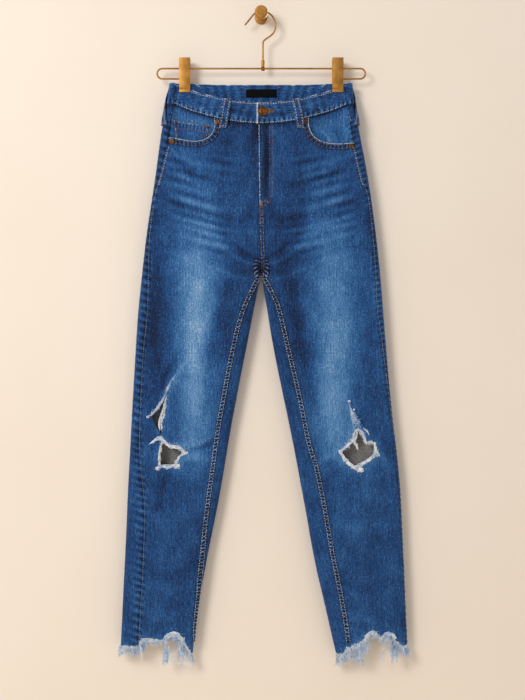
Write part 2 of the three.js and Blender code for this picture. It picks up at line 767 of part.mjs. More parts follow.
function frayed(half) {
  const rows = 3;
  const below = HEM[half.name].map(([X, z]) => [X, z - GAP]);
  const reach = block(mirrored(half, [...below, ...FRAY_END[half.name]]));
  const tube = cloth(half, {
    rows,
    cols: 20,
    wall: 3,
    zAt: (row) => mix(-1080, -1150, row / rows),
    from: (z) => section(half, z).inFlat + 20,
    to: (z) => section(half, z).girth + section(half, z).inFlat + 20 - GAP,
  });
  add(`fray_${half.name}`, tube.intersect(reach), paleThread());
}
for (const half of [RIGHT, LEFT]) frayed(half);

// ---------------------------------------------------------------- hanger

const LOWER_Z = BAR_Z - 2 * LOOP_RADIUS;
const loopX = HANGER_HALF - LOOP_RADIUS;
const WIRE_END_X = CLIP_X - CLIP_WIDTH / 2 + 3;

const bar = new THREE.CurvePath();
bar.add(new THREE.LineCurve3(inHangPlane(-WIRE_END_X, LOWER_Z), inHangPlane(-loopX, LOWER_Z)));
bar.add(new ArcInXZ(-loopX, BAR_Z - LOOP_RADIUS, LOOP_RADIUS, 1.5 * Math.PI, 0.5 * Math.PI));
bar.add(new THREE.LineCurve3(inHangPlane(-loopX, BAR_Z), inHangPlane(loopX, BAR_Z)));
bar.add(new ArcInXZ(loopX, BAR_Z - LOOP_RADIUS, LOOP_RADIUS, 0.5 * Math.PI, -0.5 * Math.PI));
bar.add(new THREE.LineCurve3(inHangPlane(loopX, LOWER_Z), inHangPlane(WIRE_END_X, LOWER_Z)));
add('hanger_bar', wire(bar, WIRE_RADIUS, 110), brass());

const HOOK_Z = PEG_NECK_RADIUS + GAP + WIRE_RADIUS - HOOK_RADIUS; // centre of the hook's circle
const FERRULE = { top: -80, bottom: BAR_Z + WIRE_RADIUS + GAP, radius: 3.2 };
const FLARE_START = 0.58 * Math.PI;
const flareFrom = inHangPlane(HOOK_RADIUS * Math.cos(FLARE_START), HOOK_Z + HOOK_RADIUS * Math.sin(FLARE_START));

const hook = new THREE.CurvePath();
hook.add(new THREE.LineCurve3(inHangPlane(STEM_X, FERRULE.top + GAP), inHangPlane(STEM_X, -50)));
hook.add(new THREE.CubicBezierCurve3(
  inHangPlane(STEM_X, -50), inHangPlane(STEM_X, -40),
  inHangPlane(HOOK_RADIUS, -40), inHangPlane(HOOK_RADIUS, HOOK_Z),
));
hook.add(new ArcInXZ(0, HOOK_Z, HOOK_RADIUS, 0, FLARE_START));
hook.add(new THREE.CubicBezierCurve3(
  flareFrom, inHangPlane(-13, 3.5), inHangPlane(-18, -6), inHangPlane(-28.5, -18),
));
add('hanger_hook', wire(hook, WIRE_RADIUS, 52), brass());

const up = new THREE.Vector3(0, 0, 1);
const ferruleHeight = FERRULE.top - FERRULE.bottom;
add('hanger_ferrule', turned(
  [[0, 0], [FERRULE.radius, 0], [FERRULE.radius, ferruleHeight - 1], [2.4, ferruleHeight], [0, ferruleHeight]],
  inHangPlane(STEM_X, FERRULE.bottom), up, 16,
), brass());
add('swivel_rivet', turned(
  [[0, 0], [2.4, 0], [3.4, 0.8], [3.4, 2], [0, 2]],
  inHangPlane(STEM_X, BAR_Z - WIRE_RADIUS - GAP - 2), up, 16,
), brass());

// Each clip: two sprung plates, a coil spring between them, jaws on the waistband.
const PLATE = 1.6;
const JAW_FACE = PINCHED + BAND / 2 + 2 * GAP; // from the middle plane to a jaw's gripping face
const SPRING_RADIUS = 5.5;
const PLATE_GAP = SPRING_RADIUS + GAP;

// Section of a plate as [distance from the middle plane, z], from the grip down to the jaw.
const PLATE_INNER = [
  [PLATE_GAP + 1.5, CLIP_TOP_Z], [PLATE_GAP, -98], [PLATE_GAP, -112], [JAW_FACE + 1.2, -129],
  [JAW_FACE, CLIP_END_Z + 5], [JAW_FACE, CLIP_END_Z],
];

function clipPlate(name, x, facing) {
  const outerLine = PLATE_INNER.map(([away, z]) => [away + PLATE, z]).reverse();
  const shape = new THREE.Shape([...PLATE_INNER, ...outerLine].map(([away, z]) => new THREE.Vector2(away, z)));
  const geometry = new THREE.ExtrudeGeometry(shape, { depth: CLIP_WIDTH, bevelEnabled: false });
  const toPlace = new THREE.Matrix4().makeBasis(
    new THREE.Vector3(0, facing, 0), new THREE.Vector3(0, 0, 1), new THREE.Vector3(1, 0, 0),
  );
  toPlace.setPosition(x - CLIP_WIDTH / 2, HANG_Y, 0);
  geometry.applyMatrix4(toPlace);
  add(name, toManifold(geometry), brass());
}

for (const half of [RIGHT, LEFT]) {
  const x = half.sign * CLIP_X;
  clipPlate(`clip_${half.name}_front`, x, -1);
  clipPlate(`clip_${half.name}_back`, x, 1);
  const springLength = 12;
  add(`clip_${half.name}_spring`, turned(
    [[0, 0], [SPRING_RADIUS, 0], [SPRING_RADIUS, springLength], [0, springLength]],
    inHangPlane(x - springLength / 2, BAR_Z - LOOP_RADIUS), new THREE.Vector3(1, 0, 0), 20,
  ), brass());
}

// ---------------------------------------------------------------- wall peg

const PEG_PROFILE = [
  [0, 0], [11.4, 0], [11.6, 1], [11.6, 3.4], [10.8, 4.2], [PEG_NECK_RADIUS, 4.6], [PEG_NECK_RADIUS, 27],
  [10.4, 28], [11.3, 29], [11.3, PEG_LENGTH - 1], [10.5, PEG_LENGTH], [0, PEG_LENGTH],
];
add('wall_peg', turned(PEG_PROFILE, new THREE.Vector3(0, 0, 0), new THREE.Vector3(0, -1, 0), 40), brass());

export default jeans;
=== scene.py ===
"""Ripped skinny jeans, held by two clips on a brass wire hanger that hangs from a brass wall peg.

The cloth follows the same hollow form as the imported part, a flattened tube with two legs. A place on it is
(half, w, z): w is the girth from the centre front outwards, round the side edge, over the back and, on a leg,
round its inner edge. Sizes are millimetres and are turned to metres when a mesh is made. z is up, the front
faces -Y, and "right" and "left" are the wearer's, so the right leg has negative x. A capital X is the
distance from the middle on either half, and a small x has its sign.
"""

import math
from collections import namedtuple

import bmesh
import bpy
import numpy as np
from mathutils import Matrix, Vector, geometry


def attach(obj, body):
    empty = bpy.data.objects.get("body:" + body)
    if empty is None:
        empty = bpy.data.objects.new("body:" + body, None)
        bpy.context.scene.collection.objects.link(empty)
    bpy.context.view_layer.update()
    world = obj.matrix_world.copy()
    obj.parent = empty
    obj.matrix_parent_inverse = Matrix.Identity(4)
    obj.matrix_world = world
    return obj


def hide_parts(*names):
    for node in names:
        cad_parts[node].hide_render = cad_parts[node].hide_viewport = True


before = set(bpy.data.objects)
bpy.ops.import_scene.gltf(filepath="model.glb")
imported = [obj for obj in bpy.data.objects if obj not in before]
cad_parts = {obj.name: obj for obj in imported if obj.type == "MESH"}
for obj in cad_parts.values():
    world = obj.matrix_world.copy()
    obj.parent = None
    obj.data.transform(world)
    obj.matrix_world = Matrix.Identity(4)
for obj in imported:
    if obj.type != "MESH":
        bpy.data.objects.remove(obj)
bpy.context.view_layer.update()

MM = 0.001

# ---------------------------------------------------------------- driving sizes of the part

DENIM = 1.4  # wall of a single layer
BAND = 2.6  # wall of the doubled waistband
GAP = 0.3  # between pieces at a seam
HANG_Y = -20.0  # middle plane of the garment, in front of the wall
WAIST_Z = -121.0
BAND_HEIGHT = 38.0
WAIST_DIP, DIP_REACH = 36.5, 147.0  # how far the top of the front sags, and out to where
SEAM_DIP, SEAM_REACH = 36, 150.0  # the same for the seam under it
CROTCH_Z = -449.0
HEM_Z = -1108.0
EDGE_ROUND = 10.0  # how far the side edges of the flattened tubes round in
CROTCH_SLOPE = 0.4
CLIP_X = 134.0
CLIP_WIDTH = 19.4
CLIP_TOP_Z = -77.0
CLIP_END_Z = -137.0
PINCHED = BAND / 2 + 0.35  # half depth of the garment in the clips
WIRE_RADIUS = 1.5
BAR_Z = -94.5
LOOP_RADIUS = 9.0
HANGER_HALF = 182.5
HOOK_RADIUS = 25.4
STEM_X = 3.0
PEG_NECK_RADIUS = 4.5
PEG_LENGTH = 40.0
BELLY_CROWN = 5.0  # how far the middle of the belly stands out
SEAT_CROWN = 4.0
LEG_CROWN = 3.5

# ---------------------------------------------------------------- small maths


def mix(a, b, t):
    return a + (b - a) * t


def ease(start, end, value):
    t = np.clip((value - start) / (end - start), 0, 1)
    return t * t * (3 - 2 * t)


def through(points):
    """A smooth curve through (z, value) points: level above the highest, straight on below the lowest."""
    z, value = np.array(sorted(points), float).T
    order = np.arange(len(z))
    low, high = np.maximum(order - 1, 0), np.minimum(order + 1, len(z) - 1)
    slope = (value[high] - value[low]) / (z[high] - z[low])

    def curve(at):
        at = np.asarray(at, float)
        i = np.clip(np.searchsorted(z, at) - 1, 0, len(z) - 2)
        span = z[i + 1] - z[i]
        t = np.clip((at - z[i]) / span, 0, 1)
        bend = span * t * (1 - t) * ((1 - t) * slope[i] - t * slope[i + 1])
        risen = value[i] + t * t * (3 - 2 * t) * (value[i + 1] - value[i]) + bend
        return risen + np.minimum(at - z[0], 0) * slope[0]

    return curve


def flowing(points, step):
    """A smooth line through points of any dimension, with a point about every step."""
    p = np.array(points, float)
    ends = np.vstack([2 * p[0] - p[1], p, 2 * p[-1] - p[-2]])
    made = []
    for i in range(1, len(ends) - 2):
        a, b, c, d = ends[i - 1 : i + 3]
        count = max(1, int(round(np.linalg.norm(c - b) / step)))
        t = np.linspace(0, 1, count, endpoint=False)[:, None]
        bends = (2 * a - 5 * b + 4 * c - d) * t * t + (3 * b - a - 3 * c + d) * t**3
        made.append(0.5 * (2 * b + (c - a) * t + bends))
    return np.vstack(made + [p[-1:]])


# ---------------------------------------------------------------- the two halves of the garment

Half = namedtuple("Half", "name sign outer leg_inner outseam inseam")

RIGHT = Half(
    "right",
    -1,
    through(
        [(-118, 159.5), (-150, 163), (-205, 174), (-290, 186), (-400, 202)]
        + [(-535, 216), (-675, 224.5), (-815, 232), (-955, 238.5), (-1110, 246)]
    ),
    through(
        [(CROTCH_Z, 0), (-500, 10), (-605, 31), (-710, 51)]
        + [(-850, 75), (-955, 96), (-1060, 115), (-1130, 122)]
    ),
    through(
        [(-118, 10), (-160, 11), (-205, 14), (-235, 14), (-287, 8), (-325, 4.5), (-400, 6)]
        + [(-520, 15), (-600, 13), (-760, 16), (-870, 30), (-1110, 31)]
    ),
    through(
        [(CROTCH_Z, 0), (-480, 9), (-520, 18.5), (-560, 22), (-710, 22), (-790, 20)]
        + [(-866, 17), (-953, 8.6), (-1022, 3), (-1090, 0.5)]
    ),
)
LEFT = Half(
    "left",
    1,
    through(
        [(-118, 158.5), (-150, 160.5), (-205, 171), (-290, 187), (-400, 202)]
        + [(-535, 214), (-675, 226), (-815, 242), (-955, 249), (-1110, 256)]
    ),
    through(
        [(CROTCH_Z, 0), (-500, 8), (-605, 26), (-710, 48)]
        + [(-850, 75), (-955, 94), (-1060, 118), (-1130, 134)]
    ),
    through(
        [(-118, 12), (-230, 13), (-290, 10.5), (-320, 5), (-440, 6.5), (-520, 9), (-570, 6)]
        + [(-660, 2.5), (-745, 0.6), (-1110, 0.6)]
    ),
    through(
        [(CROTCH_Z, 0), (-480, 10), (-510, 19), (-560, 23), (-640, 27), (-750, 27)]
        + [(-797, 32), (-953, 32.5), (-1022, 31), (-1110, 25)]
    ),
)
HALVES = (RIGHT, LEFT)

front_depth = through([(-121, 10), (-200, 12), (-300, 12), (-450, 9.5), (-700, 8), (-1110, 7)])
back_depth = through(
    [(-121, 6), (-180, 6.5), (-260, 9), (-320, 9.5), (-450, 8.5), (-700, 7.5), (-1110, 6.5)]
)

# The largest folds of the form: (x1, z1, x2, z2, rise, half width).
FRONT_FOLDS = (
    (-150, -232, -96, -300, -2.5, 9),
    (-20, -330, -150, -318, 1.8, 12),
    (-16, -372, -140, -352, -1.6, 12),
    (22, -332, 150, -322, 1.8, 12),
    (18, -372, 146, -358, -1.6, 12),
    (12, -205, 13, -318, -1.8, 6),
    (-6, -452, -62, -404, 2, 9),
    (6, -452, 62, -404, 2, 9),
    (-150, -640, -118, -560, -2, 12),
    (150, -664, 172, -716, 2.2, 9),
    (-128, -762, -84, -754, -2.4, 6),
    (120, -772, 84, -790, -2, 8),
    (-196, -860, -150, -930, 1.6, 14),
    (216, -860, 168, -940, -1.6, 14),
)
BACK_FOLDS = (
    (-12, -408, -120, -430, -2.2, 10),
    (12, -412, 118, -432, -2.2, 10),
    (-30, -470, -150, -500, 1.8, 12),
    (34, -478, 156, -500, 1.8, 12),
    (-70, -742, -205, -760, -2.2, 9),
    (72, -748, 212, -768, -2.2, 9),
    (-84, -800, -200, -782, 1.8, 10),
    (90, -806, 210, -792, 1.8, 10),
)

# Finer creases: x and z of three places on a bent line, then its rise, a ridge (+) or a trough (-), and
# its half width.
FRONT_CREASES = (
    # folds of the band between its loops
    (-150, -134, -120, -140, -95, -152, 1.4, 3.4),
    (-148, -146, -118, -152, -88, -170, -1.6, 3.2),
    (-140, -158, -110, -165, -84, -179, 1.4, 3.2),
    (-66, -160, -48, -173, -30, -170, -1.4, 3.2),
    (-62, -177, -44, -185, -26, -180, 1.2, 3),
    (60, -173, 90, -160, 120, -148, 1.4, 3.2),
    (70, -185, 104, -167, 146, -151, -1.6, 3.2),
    (96, -179, 124, -161, 152, -147, 1.4, 3.2),
    (20, -170, 36, -179, 54, -172, -1.4, 3),
    (26, -186, 42, -189, 62, -181, 1.2, 3),
    # the pocket facings
    (92, -196, 114, -212, 126, -234, 1.2, 3),
    (116, -188, 132, -206, 138, -226, -1.0, 3),
    (140, -186, 146, -200, 150, -214, 0.9, 3),
    (-134, -204, -120, -212, -104, -216, 0.7, 3),
    # the hollow beside the fly and the bulge of its facing
    (9, -198, 10, -258, 7, -318, -1.8, 4),
    (20, -204, 21, -262, 18, -312, 0.8, 3),
    (-12, -206, -11, -250, -9, -300, -0.8, 5),
    # drag lines from the pockets' outer rivets towards the fly
    (-160, -240, -118, -262, -58, -274, 0.9, 5),
    (-158, -250, -122, -280, -72, -296, -1.1, 5),
    (-156, -266, -112, -302, -58, -318, 0.9, 6),
    (160, -246, 112, -268, 38, -286, 0.9, 5),
    (158, -258, 115, -286, 44, -304, -0.9, 5),
    (164, -280, 110, -308, 34, -322, 0.9, 6),
    # short puckers under the right rivet
    (-158, -232, -150, -246, -140, -258, 0.9, 2.5),
    (-150, -230, -140, -240, -128, -250, 0.8, 2.5),
    (-162, -236, -160, -252, -156, -266, 0.7, 2.5),
    # whiskers across the hips
    (-172, -300, -115, -333, -40, -343, 0.9, 7),
    (-168, -322, -112, -350, -36, -362, -0.8, 6),
    (-172, -346, -104, -374, -30, -384, 0.8, 7),
    (-150, -378, -90, -398, -24, -406, 0.7, 7),
    (-140, -402, -90, -418, -30, -424, -0.5, 7),
    (172, -304, 112, -334, 30, -342, 0.8, 6),
    (172, -332, 108, -352, 28, -362, -0.8, 6),
    (174, -352, 102, -376, 24, -386, 0.8, 7),
    (150, -386, 84, -402, 18, -410, 0.6, 7),
    (150, -410, 90, -422, 26, -430, -0.5, 7),
    # pull lines out of the crotch
    (-6, -441, -36, -431, -84, -396, 1.3, 4.5),
    (7, -441, 36, -430, 88, -392, 1.3, 4.5),
    (-6, -430, -28, -420, -60, -392, -1.0, 4),
    (7, -430, 28, -418, 62, -388, -1.0, 4),
    (-14, -462, -40, -462, -78, -446, 1.0, 5),
    (14, -462, 40, -462, 76, -444, 1.0, 5),
    # long soft folds down the thighs
    (-60, -470, -84, -580, -100, -700, -1.2, 11),
    (-176, -420, -188, -540, -178, -640, -1.0, 11),
    (52, -470, 72, -580, 96, -700, -1.2, 12),
    (196, -430, 204, -560, 206, -660, 0.8, 10),
    # strain round the right knee's tears
    (-168, -672, -152, -640, -122, -596, 1.5, 4.5),
    (-178, -668, -166, -630, -140, -590, -1.3, 6),
    (-134, -764, -106, -760, -74, -744, -1.5, 3.5),
    (-134, -756, -108, -750, -80, -736, 0.9, 4),
    (-138, -778, -112, -776, -82, -780, 0.8, 5),
    (-156, -756, -158, -768, -156, -776, 0.4, 4),
    (-160, -800, -176, -830, -180, -870, -0.9, 8),
    (-190, -742, -204, -770, -206, -800, 0.8, 6),
    # strain round the left knee's tear
    (146, -660, 152, -690, 164, -722, 1.0, 4),
    (155, -672, 166, -698, 184, -728, -1.5, 2.6),
    (164, -650, 172, -690, 184, -730, -1.0, 6),
    (136, -768, 112, -776, 88, -792, 0.9, 5),
    (146, -790, 128, -806, 104, -818, -0.9, 6),
    (178, -798, 184, -830, 180, -866, 0.9, 8),
    (202, -766, 216, -780, 226, -800, 0.8, 6),
    # shins and ankles
    (-110, -860, -150, -880, -200, -872, 0.6, 10),
    (-120, -960, -160, -985, -214, -975, -0.7, 10),
    (-130, -1040, -170, -1052, -220, -1040, 0.6, 9),
    (112, -880, 160, -900, 222, -886, 0.6, 10),
    (126, -985, 170, -1004, 232, -990, -0.7, 10),
    (150, -1046, 190, -1060, 238, -1050, 0.6, 9),
)
BACK_CREASES = (
    (-14, -400, -60, -412, -120, -402, 0.9, 6),
    (14, -404, 60, -416, 124, -406, 0.9, 6),
    (-20, -432, -80, -446, -150, -436, -0.9, 7),
    (20, -436, 80, -450, 150, -440, -0.9, 7),
    (-40, -300, -80, -312, -150, -298, 0.5, 9),
    (40, -296, 84, -310, 150, -300, 0.5, 9),
    (-60, -560, -110, -570, -170, -556, 0.6, 9),
    (66, -566, 112, -576, 176, -562, 0.6, 9),
    (-76, -724, -130, -736, -200, -722, 1.0, 6),
    (-80, -772, -140, -778, -206, -768, 1.0, 6),
    (80, -730, 134, -742, 206, -728, 1.0, 6),
    (84, -780, 140, -786, 212, -776, 1.0, 6),
    (-100, -860, -150, -872, -210, -858, 0.7, 9),
    (100, -866, 160, -880, 226, -864, 0.7, 9),
    (-120, -970, -170, -984, -220, -966, -0.7, 9),
    (126, -976, 176, -990, 232, -972, -0.7, 9),
)


def fold_height(folds, x, z):
    height = np.zeros(np.shape(x))
    for x1, z1, x2, z2, rise, half_width in folds:
        dx, dz = x2 - x1, z2 - z1
        along = np.clip(((x - x1) * dx + (z - z1) * dz) / (dx * dx + dz * dz), 0, 1)
        away = np.hypot(x - mix(x1, x2, along), z - mix(z1, z2, along))
        height += rise * np.exp(-((away / half_width) ** 2)) * np.sin(np.pi * mix(0.12, 0.88, along))
    return height


def bent_lines(creases):
    """Each crease's smooth line, rise and half width."""
    return [(flowing(np.reshape(row[:6], (3, 2)), 12), *row[6:]) for row in creases]


front_lines, back_lines = bent_lines(FRONT_CREASES), bent_lines(BACK_CREASES)


def crease_height(creases, x, z):
    """The same along bent lines: each is measured from its smooth line, and dies out at its ends."""
    height = np.zeros(np.shape(x))
    for line, rise, half_width in creases:
        reach = 3 * half_width
        near = (x > line[:, 0].min() - reach) & (x < line[:, 0].max() + reach)
        near &= (z > line[:, 1].min() - reach) & (z < line[:, 1].max() + reach)
        if not near.any():
            continue
        px, pz = x[near], z[near]
        best, where = np.full(px.shape, 1e9), np.zeros(px.shape)
        for i in range(len(line) - 1):
            (x1, z1), (x2, z2) = line[i], line[i + 1]
            dx, dz = x2 - x1, z2 - z1
            t = np.clip(((px - x1) * dx + (pz - z1) * dz) / (dx * dx + dz * dz), 0, 1)
            away = np.hypot(px - x1 - t * dx, pz - z1 - t * dz)
            closer = away < best
            best = np.where(closer, away, best)
            where = np.where(closer, (i + t) / (len(line) - 1), where)
        height[near] += rise * np.exp(-((best / half_width) ** 2)) * np.sin(np.pi * mix(0.1, 0.9, where))
    return height


# ---------------------------------------------------------------- the form itself

Section = namedtuple("Section", "radius out_flat in_flat back_start back_end girth")


def inner_edge(half, z):
    return np.where(z < CROTCH_Z, half.leg_inner(z), -CROTCH_SLOPE * (z - CROTCH_Z))


def section(half, z):
    radius = np.sqrt((EDGE_ROUND**2 + front_depth(z) ** 2) / 2)
    out_flat = half.outer(z) - EDGE_ROUND
    in_flat = inner_edge(half, z) + EDGE_ROUND
    back_start = out_flat + np.pi * radius
    back_end = back_start + out_flat - in_flat
    girth = back_end + np.pi * radius - in_flat
    return Section(radius, out_flat, in_flat, back_start, back_end, girth)


def place(half, w, z):
    """Distance X from the middle, and how far front (+1) or back (-1) the place is."""
    s = section(half, z)
    first = (s.in_flat - w) / s.radius
    side = (w - s.out_flat) / s.radius
    last = (w - s.back_end) / s.radius
    cases = [w < s.in_flat, w <= s.out_flat, w < s.back_start, w <= s.back_end, last < np.pi]
    X = np.select(
        cases,
        [
            s.in_flat - EDGE_ROUND * np.sin(first),
            w + 0 * s.radius,
            s.out_flat + EDGE_ROUND * np.sin(side),
            s.out_flat - (w - s.back_start),
            s.in_flat - EDGE_ROUND * np.sin(last),
        ],
        s.in_flat + (last - np.pi) * s.radius,
    )
    one = np.ones(np.shape(X))
    c = np.select(cases, [np.cos(first), one, np.cos(side), -one, -np.cos(last)], one)
    return X, c


def clip_grip(X, z):
    beyond = np.where(X > CLIP_X, (X - CLIP_X - 12) / 9, (CLIP_X - X - 12) / 24)
    return np.exp(-(np.maximum(0, beyond) ** 2)) * ease(-215, CLIP_END_Z - 6, z)


def depth_at(half, X, z, front):
    hips = ease(-520, -380, z)
    out = half.outer(z)
    inn = np.maximum(0, inner_edge(half, z))
    across_leg = (2 * X - out - inn) / (out - inn)
    hip_crown = np.where(front, BELLY_CROWN, SEAT_CROWN) * (1 - (X / out) ** 2)
    crown = mix(LEG_CROWN * (1 - across_leg**2), hip_crown, hips)
    x = half.sign * X
    folds = np.where(front, fold_height(FRONT_FOLDS, x, z), fold_height(BACK_FOLDS, x, z))
    free = np.where(front, front_depth(z), back_depth(z)) + crown + folds
    return mix(free, PINCHED, clip_grip(X, z))


def on_form(half, w, z):
    X, c = place(half, w, z)
    return np.stack([half.sign * X, HANG_Y - c * depth_at(half, X, z, c > 0), z + 0 * X], axis=-1)


def outward(half, w, z):
    step = 0.5
    along_w = on_form(half, w + step, z) - on_form(half, w - step, z)
    along_z = on_form(half, w, z + step) - on_form(half, w, z - step)
    normal = np.cross(along_w, along_z) * half.sign
    return normal / np.linalg.norm(normal, axis=-1, keepdims=True)


def front_w(half, X, z):
    s = section(half, z)
    past = s.out_flat + s.radius * np.arcsin(np.clip((X - s.out_flat) / EDGE_ROUND, 0, 1))
    before = s.in_flat - s.radius * np.arcsin(np.clip((s.in_flat - X) / EDGE_ROUND, 0, 1))
    return np.where(X > s.out_flat, past, np.where(X < s.in_flat, before, X))


def back_w(half, X, z):
    s = section(half, z)
    past = s.back_start - s.radius * np.arcsin(np.clip((X - s.out_flat) / EDGE_ROUND, 0, 1))
    before = s.back_end + s.radius * np.arcsin(np.clip((s.in_flat - X) / EDGE_ROUND, 0, 1))
    return np.where(X > s.out_flat, past, np.where(X < s.in_flat, before, s.back_start + s.out_flat - X))


# ---------------------------------------------------------------- seam lines


def dip(X, reach):
    return 1 - np.minimum(1, (X / reach) ** 2)


def front_top(X):
    return WAIST_Z - WAIST_DIP * dip(X, DIP_REACH)


def front_seam(X):
    return WAIST_Z - BAND_HEIGHT - SEAM_DIP * dip(X, SEAM_REACH)


BACK_SEAM = WAIST_Z - BAND_HEIGHT


def yoke_seam(X):
    return mix(-224, -188, np.clip(X / 165, 0, 1))


fly_edge = through([(-190, -5), (-320, -3.5), (CROTCH_Z, 0)])


def side_seam(half, z):
    return front_w(half, half.outer(z) - half.outseam(z), z)


def leg_seam(half, z):
    return front_w(half, half.leg_inner(z) + half.inseam(z), z)


def front_start(half, z):
    return np.where(z > CROTCH_Z, front_w(half, half.sign * fly_edge(z), z), leg_seam(half, z))


def back_end(half, z):
    return np.where(z > CROTCH_Z, back_w(half, 0 * z, z), section(half, z).girth + leg_seam(half, z))


# ---------------------------------------------------------------- fine relief, and the cloth's tone with painted shade

# The length of one pucker, fold or worn line.
SIDE_PUCKER = {"right": 12.5, "left": 9.5}
BAND_PUCKER = 8.5
FLY_PUCKER = 5.2
TUCK = 17
WHISKER = 17
SEAM_ROPE = 6.4


def wandering(along, length):
    """A phase that runs on by one turn for each length, a little unevenly."""
    return 2 * np.pi * along / length + 1.1 * np.sin(along / 31) + 0.7 * np.sin(along / 13 + 2)


def undulation(x, z):
    slow = np.sin(x / 23 + 1.3 * np.sin(z / 61)) * np.sin(z / 47 + 0.9 * np.sin(x / 37))
    quick = np.sin(x / 7.1 + 2 * np.sin(z / 33) + z / 19) * np.sin(z / 11.3 - x / 17)
    return 0.35 * slow + 0.16 * quick


def seam_puckers(half, w, z):
    """The ripples that shrinking thread leaves beside the side seams, from -1 to 1."""
    from_side = w - side_seam(half, z)
    wave = np.sin(wandering(z - 0.35 * from_side, SIDE_PUCKER[half.name]))
    reach = np.where(from_side > 0, 12.0, 5.0)
    return wave * np.exp(-((from_side / reach) ** 2)) * ease(-150, -215, z)


def whiskers(x, z):
    """Fine worn lines that sag from the hips towards the fly, from -1 to 1."""
    across = np.clip(np.abs(x) / 165, 0, 1.1)
    sagged = z + 26 * np.clip(1 - across, 0, 1) ** 0.7 + 5 * np.sin(across * 5)
    line = np.sin(wandering(sagged, WHISKER)) * (0.62 + 0.5 * np.sin(x / 21 + z / 29))
    window = ease(-228, -270, z) * ease(-455, -390, z) * ease(0.15, 0.5, across) * ease(1.08, 0.85, across)
    return line * window


def relief(half, w, z):
    """Height of the finer creases, puckers and ripples off the form."""
    X, c = place(half, w, z)
    x = half.sign * X
    towards_front = ease(-0.6, 0.6, c)
    height = mix(crease_height(back_lines, x, z), crease_height(front_lines, x, z), towards_front)
    height += undulation(x + 40 * (c < 0), z) + 0.42 * whiskers(x, z) * towards_front
    from_side = w - side_seam(half, z)
    height += 0.6 * seam_puckers(half, w, z) - 0.5 * np.exp(-((from_side / 3) ** 2)) * ease(-150, -215, z)
    from_fly = x - fly_edge(z)
    fly = np.sin(wandering(z, FLY_PUCKER)) * np.exp(-(((from_fly - 3) / 3.2) ** 2))
    height += 0.4 * fly * ease(-205, -215, z) * ease(-335, -322, z) * (c > 0.5)
    below_seam = np.where(c > 0, front_seam(X), BACK_SEAM) - z
    height += 0.4 * np.sin(wandering(w, BAND_PUCKER)) * np.exp(-((below_seam / 7) ** 2))
    on_band = ease(-175, -165, z + SEAM_DIP * dip(X, SEAM_REACH) * (c > 0))
    height += 0.3 * np.sin(wandering(w + 0.4 * z, TUCK)) * on_band
    return height * (1 - clip_grip(X, z))


# Fades of the cloth's tone from wear, and painted shade beside the fly, under the band's end and at the
# crotch: (x, z, half width, half height, strength).
FRONT_FADES_AND_SHADE = (
    (-115, -540, 35, 180, 0.46),
    (-98, -420, 50, 90, 0.10),
    (-118, -690, 34, 80, 0.20),
    (-100, -290, 60, 50, 0.05),
    (130, -580, 41, 185, 0.40),
    (112, -430, 52, 95, 0.12),
    (90, -280, 60, 50, 0.05),
    (122, -700, 30, 70, 0.16),
    (-170, -950, 80, 190, 0.05),
    (186, -950, 80, 190, 0.06),
    (-178, -560, 15, 240, -0.05),
    (-58, -540, 17, 170, -0.06),
    (50, -500, 22, 150, -0.09),
    (-140, -770, 44, 40, 0.10),
    (165, -760, 44, 44, 0.10),
    # painted shade in the hollow beside the fly
    (9, -258, 7, 66, -0.22),
    # painted shadow under the end of the band
    (-8, -210, 9, 18, -0.26),
    # painted shade at the crotch
    (0, -440, 40, 30, -0.08),
    (0, -446, 9, 9, -0.34),
    (-70, -270, 20, 60, -0.05),
    (60, -330, 24, 70, -0.05),
)
BACK_FADES_AND_SHADE = (
    (-88, -330, 52, 90, 0.34),
    (88, -330, 52, 90, 0.34),
    (-120, -600, 46, 160, 0.26),
    (124, -600, 46, 160, 0.26),
    (-140, -900, 50, 150, 0.10),
    (150, -900, 50, 150, 0.10),
    # painted shade at the crotch
    (0, -440, 40, 40, -0.10),
)
BASE_WASH = 0.27
# Ridges are paler from wear. Troughs are darker, partly from unworn dye and partly as painted shade in the
# creases.
RIDGE_WEAR_AND_CREASE_SHADE = 0.11  # how much paler each millimetre of ridge is, and how much darker each of trough


def fade_and_shade(fades, x, z):
    return sum(s * np.exp(-(((x - fx) / fw) ** 2) - ((z - fz) / fh) ** 2) for fx, fz, fw, fh, s in fades)


# The tone of the cloth: fades from wear and along the seams, with painted shade under the band, in the
# troughs of creases and in the darker places of the tables.
def wash_and_shade_at(half, w, z, height):
    X, c = place(half, w, z)
    x = half.sign * X
    tone = BASE_WASH + mix(fade_and_shade(BACK_FADES_AND_SHADE, x, z), fade_and_shade(FRONT_FADES_AND_SHADE, x, z), ease(-0.6, 0.6, c))
    from_side = np.abs(w - side_seam(half, z))
    tone -= 0.05 * np.exp(-((from_side / 6) ** 2))
    tone += 0.16 * seam_puckers(half, w, z) + 0.06 * whiskers(x, z) * (c > 0)
    # painted shade: a dark line just under the waistband's seam, front and back
    below_band = np.where(c > 0, front_seam(X), BACK_SEAM) - z
    tone -= 0.24 * np.exp(-((below_band / 5) ** 2)) * (below_band > -GAP)
    return tone + RIDGE_WEAR_AND_CREASE_SHADE * height


def skin(half, w, z, off, height=None):
    """The point at w, z on the cloth, off its middle surface."""
    height = relief(half, w, z) if height is None else height
    point = on_form(half, w, z) + outward(half, w, z) * (off + height)[..., None]
    low = z < CROTCH_Z + 25
    point[..., 0] = np.where(low, half.sign * np.maximum(half.sign * point[..., 0], GAP / 2), point[..., 0])
    return point


# ---------------------------------------------------------------- meshes and objects


def new_object(name, mesh):
    made = bpy.data.objects.new(name, mesh)
    bpy.context.scene.collection.objects.link(made)
    return made


